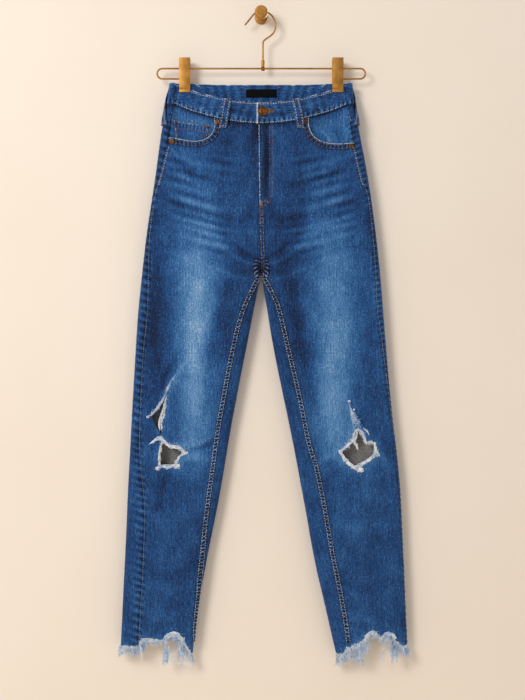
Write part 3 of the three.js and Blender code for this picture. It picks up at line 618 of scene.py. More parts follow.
def mesh_from(name, points, faces, smooth=True):
    mesh = bpy.data.meshes.new(name)
    mesh.from_pydata(np.asarray(points).tolist(), [], np.asarray(faces).tolist())
    mesh.polygons.foreach_set("use_smooth", [smooth] * len(mesh.polygons))
    mesh.update()
    return mesh


def set_attribute(mesh, name, values, kind="FLOAT"):
    field = {"FLOAT": "value", "FLOAT_VECTOR": "vector"}[kind]
    layer = mesh.attributes.new(name, kind, "POINT")
    layer.data.foreach_set(field, np.asarray(values, np.float32).ravel())


def set_uv(mesh, places):
    corners = np.empty(len(mesh.loops), np.int32)
    mesh.loops.foreach_get("vertex_index", corners)
    layer = mesh.uv_layers.new(name="cloth")
    layer.data.foreach_set("uv", np.asarray(places, np.float32)[corners].ravel())


def open_edges(faces, count):
    """The edges that only one face has, in that face's direction."""
    a = faces.ravel()
    b = np.roll(faces, -1, axis=1).ravel()
    alone = ~np.isin(a * count + b, b * count + a)
    return a[alone], b[alone]


def cloth_mesh(
    name, half, w, z, faces, lift=0.0, wall=DENIM, tone=0.0, bare=0.0,
    round_off=None, lined=False, crosswise=False
):
    """A closed wall from places on the form: outer and inner skins joined along their open edges.

    faces turn anticlockwise for w to the right and z up. round_off thins the wall towards its edges. A lined
    piece shows the right side of the cloth inside too, and a crosswise one has its warp running round.
    """
    height = relief(half, w, z)
    half_wall = (wall / 2) * (1.0 if round_off is None else round_off)
    outer = skin(half, w, z, lift + half_wall, height)
    inner = skin(half, w, z, lift - half_wall, height)
    count = len(w)
    faces = np.asarray(faces, int)
    outside = faces if half.sign > 0 else faces[:, ::-1]
    a, b = open_edges(outside, count)
    sides = np.stack([b, a, a + count, b + count], axis=1)
    all_faces = outside.tolist() + (outside[:, ::-1] + count).tolist() + sides.tolist()
    mesh = bpy.data.meshes.new(name)
    mesh.from_pydata((np.vstack([outer, inner]) * MM).tolist(), [], all_faces)
    mesh.polygons.foreach_set("use_smooth", [True] * len(mesh.polygons))
    # the cloth's tone, its painted shade included
    wash = wash_and_shade_at(half, w, z, height) + tone
    set_attribute(mesh, "wash", np.concatenate([wash, wash]))
    worn = np.zeros(count) + bare
    set_attribute(mesh, "bare", np.concatenate([worn, worn]))
    set_attribute(mesh, "inside", np.concatenate([np.zeros(count), np.full(count, 0.0 if lined else 1.0)]))
    set_uv(mesh, np.tile(np.stack([z, w] if crosswise else [w, z], axis=1) * MM, (2, 1)))
    mesh.update()
    return mesh


def shares(length, spacing, edge=None):
    """Places from 0 to 1 at an even spacing, with three more near each end where an edge is rounded."""
    count = max(2, int(round(length / spacing)))
    even = np.linspace(0, 1, count + 1)
    if edge is None:
        return even
    close = np.array([0.12, 0.4, 1.0]) * edge / length
    kept = even[(even > close[-1] * 1.4) & (even < 1 - close[-1] * 1.4)]
    return np.concatenate([[0], close, kept, 1 - close[::-1], [1]])


def grid_faces(rows, cols):
    at = np.arange(rows * cols).reshape(rows, cols)
    a, b, c, d = at[:-1, :-1], at[:-1, 1:], at[1:, 1:], at[1:, :-1]
    return np.stack([d, c, b, a], axis=-1).reshape(-1, 4)


def rounded(distance, edge):
    """Share of the full wall at a distance from a folded edge."""
    d = np.clip(distance / edge, 0, 1)
    return np.sqrt(np.maximum(1 - (1 - d) ** 2, 0.04))


def level(value):
    """A side of a patch that is the same all along."""
    return value if callable(value) else lambda at: value + 0 * at


def patch(
    name, half, rows, cols, top, bottom, start, end,
    edge=1.2, worn=0.0, worn_reach=1.3, joined=False, **look
):
    """Cloth between the heights top(X) and bottom(X) and between the girths start(z) and end(z).

    Each of the four may be a number. rows and cols are its shares down and across. Its edges are folded,
    and worn pale by as much as worn says, but for its end where it is joined. lift, tone and bare, in look,
    may be functions.
    """
    top, bottom, start, end = (level(side) for side in (top, bottom, start, end))
    v, u = np.meshgrid(rows, cols, indexing="ij")
    z = np.full(v.shape, float(np.mean(top(np.array([60.0])))))
    for _ in range(7):
        w = mix(start(z), end(z), u)
        X, _c = place(half, w, z)
        z = mix(top(X), bottom(X), v)
    w, z, X = w.ravel(), z.ravel(), X.ravel()
    height = np.abs(np.mean(top(X) - bottom(X)))
    width = np.abs(np.mean(end(z) - start(z)))
    from_side = (u if joined else np.minimum(u, 1 - u)) * width
    from_edge = np.minimum(np.minimum(v, 1 - v) * height, from_side).ravel()
    faces = grid_faces(len(rows), len(cols))
    if callable(look.get("lift")):
        look["lift"] = look["lift"](X, z)
    if callable(look.get("tone")):
        look["tone"] = look["tone"](X, z, w)
    extra = look.pop("bare", 0.0)
    if callable(extra):
        extra = extra(X, z, w, v.ravel(), u.ravel())
    bare = worn * np.exp(-((from_edge / worn_reach) ** 2)) + extra
    return cloth_mesh(name, half, w, z, faces, bare=bare, round_off=rounded(from_edge, edge), **look)


def ribbon(name, half, path, across, lift, wall, crown=0.0, rope=None, **look):
    """A strip of cloth along a path of (w, z), from across[0] to across[-1] beside it.

    rope is (length, rise, slant) of the puckers that run along it.
    """
    path = np.asarray(path, float)
    ahead = np.gradient(path, axis=0)
    ahead /= np.linalg.norm(ahead, axis=1, keepdims=True)
    beside = np.stack([ahead[:, 1], -ahead[:, 0]], axis=1)
    run = np.concatenate([[0], np.cumsum(np.linalg.norm(np.diff(path, axis=0), axis=1))])
    across = np.asarray(across, float)
    places = path[:, None, :] + beside[:, None, :] * across[None, :, None]
    w, z = places[..., 0].ravel(), places[..., 1].ravel()
    t = (across - across[0]) / (across[-1] - across[0])
    share = np.tile(t, len(path))
    along = np.repeat(run, len(across))
    off = np.full(w.shape, float(lift)) + crown * np.sin(np.pi * share)
    puckers = np.zeros(w.shape)
    if rope:
        length, rise, slant = rope
        puckers = np.sin(wandering(along + slant * share, length)) * np.sin(np.pi * mix(0.12, 0.88, share))
        off = off + rise * puckers
    from_edge = np.minimum(share, 1 - share) * abs(across[-1] - across[0])
    faces = grid_faces(len(path), len(across))
    if across[-1] > across[0]:
        faces = faces[:, ::-1]
    tone = look.pop("tone", 0.0) + look.pop("rope_tone", 0.0) * puckers
    bare = look.pop("bare", 0.0) + look.pop("worn", 0.0) * np.exp(-((from_edge / 1.0) ** 2))
    bare = bare + look.pop("rope_bare", 0.0) * np.clip(puckers, 0, 1)
    return cloth_mesh(
        name, half, w, z, faces, lift=off, wall=wall, tone=tone, bare=bare,
        round_off=rounded(from_edge, min(0.9, abs(across[-1] - across[0]) / 3)), **look
    )


# ---------------------------------------------------------------- materials


def linear(colour):
    """#rrggbb as linear light, with alpha."""
    parts = [int(colour[i : i + 2], 16) / 255 for i in (1, 3, 5)]
    return (*[p / 12.92 if p <= 0.04045 else ((p + 0.055) / 1.055) ** 2.4 for p in parts], 1.0)


def add(tree, kind, settings=None, inputs=None):
    """A node with its settings; each input is given a value, or the socket that feeds it."""
    made = tree.nodes.new(kind)
    for key, value in (settings or {}).items():
        setattr(made, key, value)
    for key, value in (inputs or {}).items():
        if isinstance(value, bpy.types.NodeSocket):
            tree.links.new(value, made.inputs[key])
        else:
            made.inputs[key].default_value = value
    return made


def new_material(name, **shader):
    """A material and its tree, with the same-everywhere numbers on the shader's own sockets."""
    made = bpy.data.materials.new(name)
    made.use_nodes = True
    tree = made.node_tree
    tree.nodes.clear()
    inputs = {key.replace("_", " "): value for key, value in shader.items()}
    surface = add(tree, "ShaderNodeBsdfPrincipled", None, inputs)
    add(tree, "ShaderNodeOutputMaterial", None, {"Surface": surface.outputs[0]})
    return made, tree, surface


def ramp(tree, factor, stops):
    made = add(tree, "ShaderNodeValToRGB", None, {"Fac": factor})
    band = made.color_ramp
    while len(band.elements) < len(stops):
        band.elements.new(0.5)
    for element, (at, colour) in zip(band.elements, stops):
        element.position = at
        element.color = linear(colour)
    return made.outputs["Color"]


def streaked(tree, source, across, along, detail=2.0):
    """Noise on the cloth's own map, so many millimetres wide and long."""
    scale = (1 / (across * MM), 1 / (along * MM), 1)
    on_cloth = add(tree, "ShaderNodeMapping", None, {"Vector": source, "Scale": scale})
    noise = add(
        tree, "ShaderNodeTexNoise", {"noise_dimensions": "2D"},
        {"Vector": on_cloth.outputs[0], "Scale": 1.0, "Detail": detail, "Roughness": 0.55},
    )
    return noise.outputs[0]


def weighed(tree, start, *parts):
    """start plus each part less a half, times its weight."""
    total = start
    for value, weight in parts:
        total = add(
            tree, "ShaderNodeMath", {"operation": "MULTIPLY_ADD"}, {0: value, 1: weight, 2: total}
        ).outputs[0]
    shift = -sum(weight for _value, weight in parts) / 2
    return add(tree, "ShaderNodeMath", {"operation": "ADD"}, {0: total, 1: shift}).outputs[0]


def stone_washed_denim():
    """Indigo cotton twill, stone washed: matte, with upright slub streaks, paler on ridges and thighs, and
    with painted shade in troughs, under the band and at the crotch.

    The real twill line is 0.6 mm wide; here it is 1.5 mm, so that it shows.
    """
    made, tree, surface = new_material("stone_washed_denim", Roughness=0.88, Sheen_Weight=0.06)
    surface.inputs["Specular IOR Level"].default_value = 0.18
    surface.inputs["Sheen Roughness"].default_value = 0.6
    cloth = add(tree, "ShaderNodeUVMap", {"uv_map": "cloth"}).outputs[0]
    # the first attribute holds the wear of the cloth and its painted shade
    wash, bare, inside = (
        add(tree, "ShaderNodeAttribute", {"attribute_name": name}).outputs["Fac"]
        for name in ("wash", "bare", "inside")
    )
    slub = streaked(tree, cloth, 2.6, 42, 3)
    thread = streaked(tree, cloth, 1.5, 9, 2)
    grain = streaked(tree, cloth, 2.6, 3.2, 2)
    mottle = streaked(tree, cloth, 26, 38, 4)
    tone = weighed(tree, wash, (slub, 0.30), (thread, 0.42), (grain, 0.46), (mottle, 0.26))
    indigo = ramp(
        tree, tone,
        [(0.0, "#081730"), (0.14, "#0f2850"), (0.30, "#184178"), (0.48, "#2c5e98"), (0.68, "#5081b6")]
        + [(0.86, "#7ba2cc"), (1.0, "#b4c9df")],
    )
    patchy = weighed(tree, bare, (grain, 0.9), (thread, 0.5))
    cotton = add(tree, "ShaderNodeMapRange", {"interpolation_type": "SMOOTHSTEP"},
                 {"Value": patchy, "From Min": 0.2, "From Max": 0.85}).outputs[0]
    worn = add(tree, "ShaderNodeMix", {"data_type": "RGBA"}, {0: cotton, 6: indigo, 7: linear("#d3dde6")})
    wrong_side = ramp(tree, grain, [(0.2, "#6e7074"), (0.8, "#a2a3a5")])
    hue = add(tree, "ShaderNodeMix", {"data_type": "RGBA"}, {0: inside, 6: worn.outputs[2], 7: wrong_side})
    tree.links.new(hue.outputs[2], surface.inputs["Base Color"])
    twill_map = add(tree, "ShaderNodeMapping", None, {"Vector": cloth, "Scale": (1 / MM, 1 / MM, 1)})
    twill = add(
        tree, "ShaderNodeTexWave", {"bands_direction": "DIAGONAL"},
        {"Vector": twill_map.outputs[0], "Scale": 1 / 1.5 / 3.2, "Distortion": 0.6},
    )
    height = weighed(tree, twill.outputs["Fac"], (slub, 1.2), (grain, 1.6))
    bump = add(tree, "ShaderNodeBump", None, {"Strength": 0.35, "Distance": 0.25 * MM, "Height": height})
    tree.links.new(bump.outputs[0], surface.inputs["Normal"])
    return made


def spun_thread(name, dark, light, roughness=0.8):
    """Cotton thread: matte, its colour running between two tones along its length."""
    made, tree, surface = new_material(name, Roughness=roughness)
    surface.inputs["Specular IOR Level"].default_value = 0.3
    where = add(tree, "ShaderNodeTexCoord").outputs["Object"]
    noise = add(tree, "ShaderNodeTexNoise", None, {"Vector": where, "Scale": 1 / (5 * MM), "Detail": 2.0})
    tree.links.new(ramp(tree, noise.outputs[0], [(0.35, dark), (0.65, light)]), surface.inputs["Base Color"])
    fibre = add(tree, "ShaderNodeTexNoise", None, {"Vector": where, "Scale": 1 / (0.7 * MM), "Detail": 1.0})
    bump = add(tree, "ShaderNodeBump", None,
               {"Strength": 0.3, "Distance": 0.15 * MM, "Height": fibre.outputs[0]})
    tree.links.new(bump.outputs[0], surface.inputs["Normal"])
    return made


def woven_tag():
    """Black damask label, blank: fine cross ribs with a low sheen."""
    made, tree, surface = new_material("black_woven_tag", Roughness=0.9)
    cloth = add(tree, "ShaderNodeUVMap", {"uv_map": "cloth"}).outputs[0]
    surface.inputs["Specular IOR Level"].default_value = 0.08
    ribs = streaked(tree, cloth, 6, 0.8, 1)
    tree.links.new(ramp(tree, ribs, [(0.3, "#050608"), (0.7, "#101216")]), surface.inputs["Base Color"])
    bump = add(tree, "ShaderNodeBump", None, {"Strength": 0.4, "Distance": 0.2 * MM, "Height": ribs})
    tree.links.new(bump.outputs[0], surface.inputs["Normal"])
    return made


def satin_metal(name, dark, light, roughness, brush_mm, brush_depth):
    """Metal with a satin brushed or tumbled surface: soft streaked highlights and slight tarnish."""
    made, tree, surface = new_material(name, Metallic=1.0)
    where = add(tree, "ShaderNodeTexCoord").outputs["Object"]
    scale = tuple(1 / (size * MM) for size in brush_mm)
    brushed = add(tree, "ShaderNodeMapping", None, {"Vector": where, "Scale": scale})
    lines = add(tree, "ShaderNodeTexNoise", None, {"Vector": brushed.outputs[0], "Scale": 1.0, "Detail": 3.0})
    tarnish = add(tree, "ShaderNodeTexNoise", None, {"Vector": where, "Scale": 1 / (14 * MM), "Detail": 3.0})
    tone = weighed(tree, tarnish.outputs[0], (lines.outputs[0], 0.5))
    tree.links.new(ramp(tree, tone, [(0.3, dark), (0.7, light)]), surface.inputs["Base Color"])
    low, high = roughness
    rough = add(tree, "ShaderNodeMapRange", None, {"Value": lines.outputs[0], "To Min": low, "To Max": high})
    tree.links.new(rough.outputs[0], surface.inputs["Roughness"])
    bump = add(tree, "ShaderNodeBump", None,
               {"Strength": brush_depth, "Distance": 0.1 * MM, "Height": lines.outputs[0]})
    tree.links.new(bump.outputs[0], surface.inputs["Normal"])
    return made


denim = stone_washed_denim()
frayed_cotton = spun_thread("frayed_white_cotton", "#d3e0f2", "#fbfcff", 0.9)
blue_ends = spun_thread("frayed_blue_warp", "#82abdc", "#c9def6", 0.9)
sand_thread = spun_thread("sand_topstitch", "#aaa59d", "#efebe4")
rust_thread = spun_thread("rust_topstitch", "#5a3d30", "#a9805f")
pale_thread = spun_thread("faded_blue_seam_edge", "#4a74a6", "#9db7d4")
tag_cloth = woven_tag()
brass = satin_metal("satin_brass", "#9c6f35", "#bb8d4b", (0.44, 0.56), (0.5, 9, 9), 0.10)
copper = satin_metal("aged_copper", "#3c2616", "#8a5c33", (0.36, 0.55), (2, 2, 2), 0.35)


# ---------------------------------------------------------------- geometry node trees


def node_group(name, sizes, output_material):
    """A tree with a geometry input, named sizes and a geometry output, and the function that ends it."""
    tree = bpy.data.node_groups.new(name, "GeometryNodeTree")
    tree.interface.new_socket("Geometry", in_out="INPUT", socket_type="NodeSocketGeometry")
    for size, start in sizes.items():
        socket = tree.interface.new_socket(size, in_out="INPUT", socket_type="NodeSocketFloat")
        socket.default_value = start
    tree.interface.new_socket("Geometry", in_out="OUTPUT", socket_type="NodeSocketGeometry")
    given = add(tree, "NodeGroupInput").outputs

    def close(shape):
        smooth = add(tree, "GeometryNodeSetShadeSmooth", None, {"Geometry": shape})
        real = add(tree, "GeometryNodeRealizeInstances", None, {"Geometry": smooth.outputs[0]})
        finish = add(
            tree, "GeometryNodeSetMaterial", None,
            {"Geometry": real.outputs[0], "Material": output_material},
        )
        add(tree, "NodeGroupOutput", None, {"Geometry": finish.outputs[0]})
        return tree

    return tree, given, close


def grown(source, tree, name, **sizes):
    """The plain mesh that a tree makes from a source mesh, as a new object; the source is used up."""
    guide = new_object(name + "_guide", source)
    modifier = guide.modifiers.new("tree", "NODES")
    modifier.node_group = tree
    sockets = {item.name: item.identifier for item in tree.interface.items_tree if item.in_out == "INPUT"}
    for size, value in sizes.items():
        modifier[sockets[size.replace("_", " ")]] = value
    evaluated = guide.evaluated_get(bpy.context.evaluated_depsgraph_get())
    made = bpy.data.meshes.new_from_object(evaluated)
    made.name = name
    bpy.data.objects.remove(guide)
    return new_object(name, made)


def lines_mesh(name, lines, **vectors):
    """Open polylines as one mesh of edges. Each vector or number attribute is a list with an array a line."""
    points = np.vstack(lines) * MM
    edges, start = [], 0
    for line in lines:
        order = np.arange(start, start + len(line) - 1)
        edges.append(np.stack([order, order + 1], axis=1))
        start += len(line)
    mesh = bpy.data.meshes.new(name)
    mesh.from_pydata(points.tolist(), np.vstack(edges).tolist(), [])
    for key, values in vectors.items():
        joined = np.concatenate([np.asarray(v, float) for v in values])
        set_attribute(mesh, key, joined, "FLOAT_VECTOR" if joined.ndim == 2 else "FLOAT")
    return mesh


def named(tree, name, kind):
    made = add(tree, "GeometryNodeInputNamedAttribute", {"data_type": kind})
    made.inputs["Name"].default_value = name
    return made.outputs["Attribute"]


def stitch_tree(name, material):
    """Stitches laid end to end along lines, each a rounded bar that lies on the cloth."""
    sizes = {"Pitch": 4.5 * MM, "Length": 3.4 * MM, "Width": 1.1 * MM, "Height": 0.9 * MM}
    tree, given, close = node_group(name, sizes, material)
    curve = add(tree, "GeometryNodeMeshToCurve", None, {"Mesh": given["Geometry"]})
    even = add(tree, "GeometryNodeResampleCurve", {"mode": "LENGTH"},
               {"Curve": curve.outputs[0], "Length": given["Pitch"]})
    tangent = add(tree, "GeometryNodeInputTangent").outputs[0]
    turn = add(
        tree, "FunctionNodeAxesToRotation", {"primary_axis": "Z", "secondary_axis": "X"},
        {"Primary Axis": named(tree, "face", "FLOAT_VECTOR"), "Secondary Axis": tangent},
    )
    bar = add(tree, "GeometryNodeMeshIcoSphere", None, {"Radius": 0.5, "Subdivisions": 1})
    size = add(tree, "ShaderNodeCombineXYZ", None,
               {"X": given["Length"], "Y": given["Width"], "Z": given["Height"]})
    laid = add(
        tree, "GeometryNodeInstanceOnPoints", None,
        {"Points": even.outputs[0], "Instance": bar.outputs[0], "Rotation": turn.outputs[0],
         "Scale": size.outputs[0]},
    )
    return close(laid.outputs[0])


def fringe_tree(name, material):
    """Loose threads along torn edges: each leaves along pull, bends by a noise and droops."""
    sizes = {
        "Spacing": 0.6 * MM, "Thickness": 0.3 * MM, "Spread": 0.6, "Curl": 3 * MM, "Droop": 0.3, "Seed": 0.0,
    }
    tree, given, close = node_group(name, sizes, material)
    curve = add(tree, "GeometryNodeMeshToCurve", None, {"Mesh": given["Geometry"]})
    even = add(tree, "GeometryNodeResampleCurve", {"mode": "LENGTH"},
               {"Curve": curve.outputs[0], "Length": given["Spacing"]})
    seed = add(tree, "FunctionNodeFloatToInt", None, {0: given["Seed"]}).outputs[0]
    astray = add(
        tree, "FunctionNodeRandomValue", {"data_type": "FLOAT_VECTOR"},
        {"Min": (-1, -1, -1), "Max": (1, 1, 1), "Seed": seed},
    )
    strayed = add(tree, "ShaderNodeVectorMath", {"operation": "SCALE"},
                  {0: astray.outputs[0], "Scale": given["Spread"]})
    heading = add(tree, "ShaderNodeVectorMath", {"operation": "ADD"},
                  {0: named(tree, "pull", "FLOAT_VECTOR"), 1: strayed.outputs[0]})
    turn = add(
        tree, "FunctionNodeAxesToRotation", {"primary_axis": "Z", "secondary_axis": "X"},
        {"Primary Axis": heading.outputs[0], "Secondary Axis": named(tree, "face", "FLOAT_VECTOR")},
    )
    share = add(tree, "FunctionNodeRandomValue", {"data_type": "FLOAT"}, {2: 0.35, 3: 1.0, "Seed": seed})
    length = add(tree, "ShaderNodeMath", {"operation": "MULTIPLY"},
                 {0: named(tree, "reach", "FLOAT"), 1: share.outputs[1]})
    size = add(tree, "ShaderNodeCombineXYZ", None, {"X": 1.0, "Y": 1.0, "Z": length.outputs[0]})
    line = add(tree, "GeometryNodeCurvePrimitiveLine", None, {"Start": (0, 0, 0), "End": (0, 0, 1)})
    joints = add(tree, "GeometryNodeResampleCurve", None, {"Curve": line.outputs[0], "Count": 7})
    laid = add(
        tree, "GeometryNodeInstanceOnPoints", None,
        {"Points": even.outputs[0], "Instance": joints.outputs[0], "Rotation": turn.outputs[0],
         "Scale": size.outputs[0]},
    )
    threads = add(tree, "GeometryNodeRealizeInstances", None, {"Geometry": laid.outputs[0]})
    factor = add(tree, "GeometryNodeSplineParameter").outputs["Factor"]
    where = add(tree, "GeometryNodeInputPosition").outputs[0]
    noise = add(tree, "ShaderNodeTexNoise", {"noise_dimensions": "4D"},
                {"Vector": where, "W": given["Seed"], "Scale": 1 / (3.5 * MM), "Detail": 1.0})
    middled = add(tree, "ShaderNodeVectorMath", {"operation": "SUBTRACT"},
                  {0: noise.outputs["Color"], 1: (0.5, 0.5, 0.5)})
    bend = add(tree, "ShaderNodeMath", {"operation": "MULTIPLY"}, {0: given["Curl"], 1: factor})
    bent = add(tree, "ShaderNodeVectorMath", {"operation": "SCALE"},
               {0: middled.outputs[0], "Scale": bend.outputs[0]})
    squared = add(tree, "ShaderNodeMath", {"operation": "MULTIPLY"}, {0: factor, 1: factor})
    fall = add(tree, "ShaderNodeMath", {"operation": "MULTIPLY"}, {0: squared.outputs[0], 1: given["Droop"]})
    fallen = add(tree, "ShaderNodeVectorMath", {"operation": "SCALE"},
                 {0: (0.0, 0.0, -0.01), "Scale": fall.outputs[0]})
    moved = add(tree, "ShaderNodeVectorMath", {"operation": "ADD"},
                {0: bent.outputs[0], 1: fallen.outputs[0]})
    set_down = add(tree, "GeometryNodeSetPosition", None,
                   {"Geometry": threads.outputs[0], "Offset": moved.outputs[0]})
    taper = add(tree, "ShaderNodeMapRange", None, {"Value": factor, "To Min": 1.0, "To Max": 0.45})
    fined = add(tree, "GeometryNodeSetCurveRadius", None,
                {"Curve": set_down.outputs[0], "Radius": taper.outputs[0]})
    ring = add(tree, "GeometryNodeCurvePrimitiveCircle", None,
               {"Resolution": 3, "Radius": given["Thickness"]})
    spun = add(tree, "GeometryNodeCurveToMesh", {},
               {"Curve": fined.outputs[0], "Profile Curve": ring.outputs[0], "Fill Caps": True})
    return close(spun.outputs[0])


def wire_tree(name, material, sides):
    """A round section carried along lines."""
    tree, given, close = node_group(name, {"Radius": MM}, material)
    curve = add(tree, "GeometryNodeMeshToCurve", None, {"Mesh": given["Geometry"]})
    ring = add(tree, "GeometryNodeCurvePrimitiveCircle", None,
               {"Resolution": sides, "Radius": given["Radius"]})
    drawn = add(tree, "GeometryNodeCurveToMesh", {},
                {"Curve": curve.outputs[0], "Profile Curve": ring.outputs[0], "Fill Caps": True})
    return close(drawn.outputs[0])


# ---------------------------------------------------------------- pieces of the object


def belongs(piece, slot, *nodes):
    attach(piece, "root")
    if nodes:
        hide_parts(*nodes)
    return piece


def join_meshes(name, meshes):
    """Several meshes as one."""
    joined = bmesh.new()
    for mesh in meshes:
        joined.from_mesh(mesh)
    made = bpy.data.meshes.new(name)
    joined.to_mesh(made)
    joined.free()
    made.polygons.foreach_set("use_smooth", [True] * len(made.polygons))
    return made


def sewn(name, mesh, node=None, material=denim, slot="denim"):
    mesh.materials.clear()
    mesh.materials.append(material)
    piece = new_object(name, mesh)
    return belongs(piece, slot, *([node] if node else []))


# ---- front and back panels

MOUTH = {
    "right": [
        (81.5, -180), (80.5, -198), (85, -211), (95.5, -220.5), (112, -225), (130, -223.5), (152, -219),
    ],
    "left": [
        (82, -180), (82.5, -199), (89, -213.5), (101, -223.5), (118, -228.5), (137, -229.5), (156, -228),
    ],
}
RIGHT_SLASH = [
    (-164, -655), (-168.5, -678), (-170, -702), (-176, -713), (-173.5, -733), (-176, -734), (-191, -706),
]
RIGHT_KNEE = [
    (-172, -747), (-158, -755.5), (-144, -757), (-136, -764), (-144, -775), (-152, -787.5),
    (-176, -788.5), (-177, -768),
]
LEFT_KNEE = [
    (166, -726), (158, -746), (139, -765), (146, -777), (163, -790), (177, -786), (189, -779),
    (198, -767), (197, -750), (182, -749), (173, -729),
]
HEM = {
    "right": [
        (60, -1128), (115, -1126), (124, -1120), (135, -1101), (143, -1092), (152, -1086), (164, -1091),
        (168, -1096), (208, -1092.5), (214, -1107), (300, HEM_Z),
    ],
    "left": [
        (60, -1128), (138, -1126), (152, -1109), (176, -1098), (184, -1086), (195, -1080), (205, -1087),
        (211, -1092), (219, -1085.5), (227, -1086), (233, -1095), (244, -1106), (320, HEM_Z),
    ],
}
TORN_STEP = 1.1  # spacing of the points along a torn edge
COARSE, FINE = 3.2, 1.4  # spacing of the points of a panel, and near a tear
TEAR_REACH = 9.0


def hem_z(half, X):
    x, z = np.array(HEM[half.name], float).T
    return np.interp(X, x, z)


def nibbled(points, rng, depth):
    """A torn edge: its points pushed about."""
    return points + rng.uniform(-depth, depth, np.shape(points))


def closed_line(points, step):
    corners = np.array([*points, points[0]], float)
    made = []
    for a, b in zip(corners[:-1], corners[1:]):
        count = max(1, int(round(np.linalg.norm(b - a) / step)))
        made.append(a + (b - a) * np.linspace(0, 1, count, endpoint=False)[:, None])
    return np.vstack(made)


def on_front(half, outline):
    """x and z of the front face as w and z."""
    outline = np.asarray(outline, float)
    return np.stack([front_w(half, half.sign * outline[:, 0], outline[:, 1]), outline[:, 1]], axis=1)


def mouth_line(half):
    """The pocket mouth as (w, z), from the seam under the waistband to the side seam."""
    mouth = MOUTH[half.name]
    start = (mouth[0][0], float(front_seam(mouth[0][0])) - GAP / 2)
    z_end = mouth[-1][1]
    end = (float(side_seam(half, np.array(z_end))) - GAP, z_end)
    line = flowing([start, *mouth[1:], end], 1.5)
    return np.stack([line[:, 0], line[:, 1]], axis=1)


def hem_line(half, w_from, w_to, rng):
    """The chewed hem between two girths."""
    w = np.arange(w_from, w_to, TORN_STEP)
    z = np.full(w.shape, -1100.0)
    for _ in range(5):
        z = hem_z(half, place(half, w, z)[0])
    return nibbled(np.stack([w, z], axis=1), rng, 0.5)


def front_outline(half, rng):
    mouth = mouth_line(half)
    z_top = float(front_seam(np.array(5.0)))
    X = np.arange(float(half.sign * fly_edge(z_top)) + GAP, mouth[0, 0], 2.5)
    top = np.stack([X, front_seam(X) - GAP / 2], axis=1)
    z = np.arange(mouth[-1, 1], HEM_Z, -2.5)
    side = np.stack([side_seam(half, z) - GAP, z], axis=1)
    z_low = float(hem_z(half, half.leg_inner(-1120.0) + 2))
    low_w = float(leg_seam(half, z_low)) + GAP
    hem = hem_line(half, low_w, float(side_seam(half, HEM_Z)) - GAP, rng)[::-1]
    z = np.arange(z_low, z_top, 2.5)
    inner = np.stack([front_start(half, z) + GAP, z], axis=1)
    return np.vstack([top[:-1], mouth[:-1], side, hem, inner]), hem


def back_outline(half, rng):
    share = np.linspace(0, 1, 90)
    z = np.full(share.shape, -200.0)
    for _ in range(7):
        w = mix(side_seam(half, z) + GAP, back_end(half, z) - GAP, share)
        z = yoke_seam(place(half, w, z)[0]) - GAP / 2
    top = np.stack([w, z], axis=1)
    z_low = float(hem_z(half, half.leg_inner(-1120.0) + half.inseam(-1120.0)))
    z = np.arange(top[-1, 1] - 2.5, z_low, -2.5)
    inner = np.stack([back_end(half, z) - GAP, z], axis=1)
    hem = hem_line(half, float(side_seam(half, HEM_Z)) + GAP, float(back_end(half, z_low)) - GAP, rng)[::-1]
    z = np.arange(HEM_Z, top[0, 1] - 2, 2.5)
    side = np.stack([side_seam(half, z) + GAP, z], axis=1)
    return np.vstack([top, inner, hem, side]), hem


def inside_loop(points, loop):
    x, y = points.T
    hit = np.zeros(len(points), bool)
    for (x1, y1), (x2, y2) in zip(loop, np.roll(loop, -1, axis=0)):
        if y1 == y2:
            continue
        crosses = (y1 > y) != (y2 > y)
        hit ^= crosses & (x < (x2 - x1) * (y - y1) / (y2 - y1) + x1)
    return hit


def nearest(points, targets):
    """Distance from each point to the nearest target."""
    if not len(targets):
        return np.full(len(points), 1e9)
    made = np.full(len(points), 1e9)
    for chunk in np.array_split(np.arange(len(points)), max(1, len(points) // 4000)):
        p = points[chunk]
        best = np.full(len(p), 1e18)
        for group in np.array_split(targets, max(1, len(targets) // 200)):
            away = ((p[:, None, :] - group[None]) ** 2).sum(2).min(1)
            best = np.minimum(best, away)
        made[chunk] = np.sqrt(best)
    return made


def grid_points(low, high, step):
    w, z = np.meshgrid(np.arange(low[0], high[0], step), np.arange(low[1], high[1], step))
    w = w + (step / 2) * (np.arange(len(z))[:, None] % 2)
    return np.stack([w.ravel(), z.ravel()], axis=1)


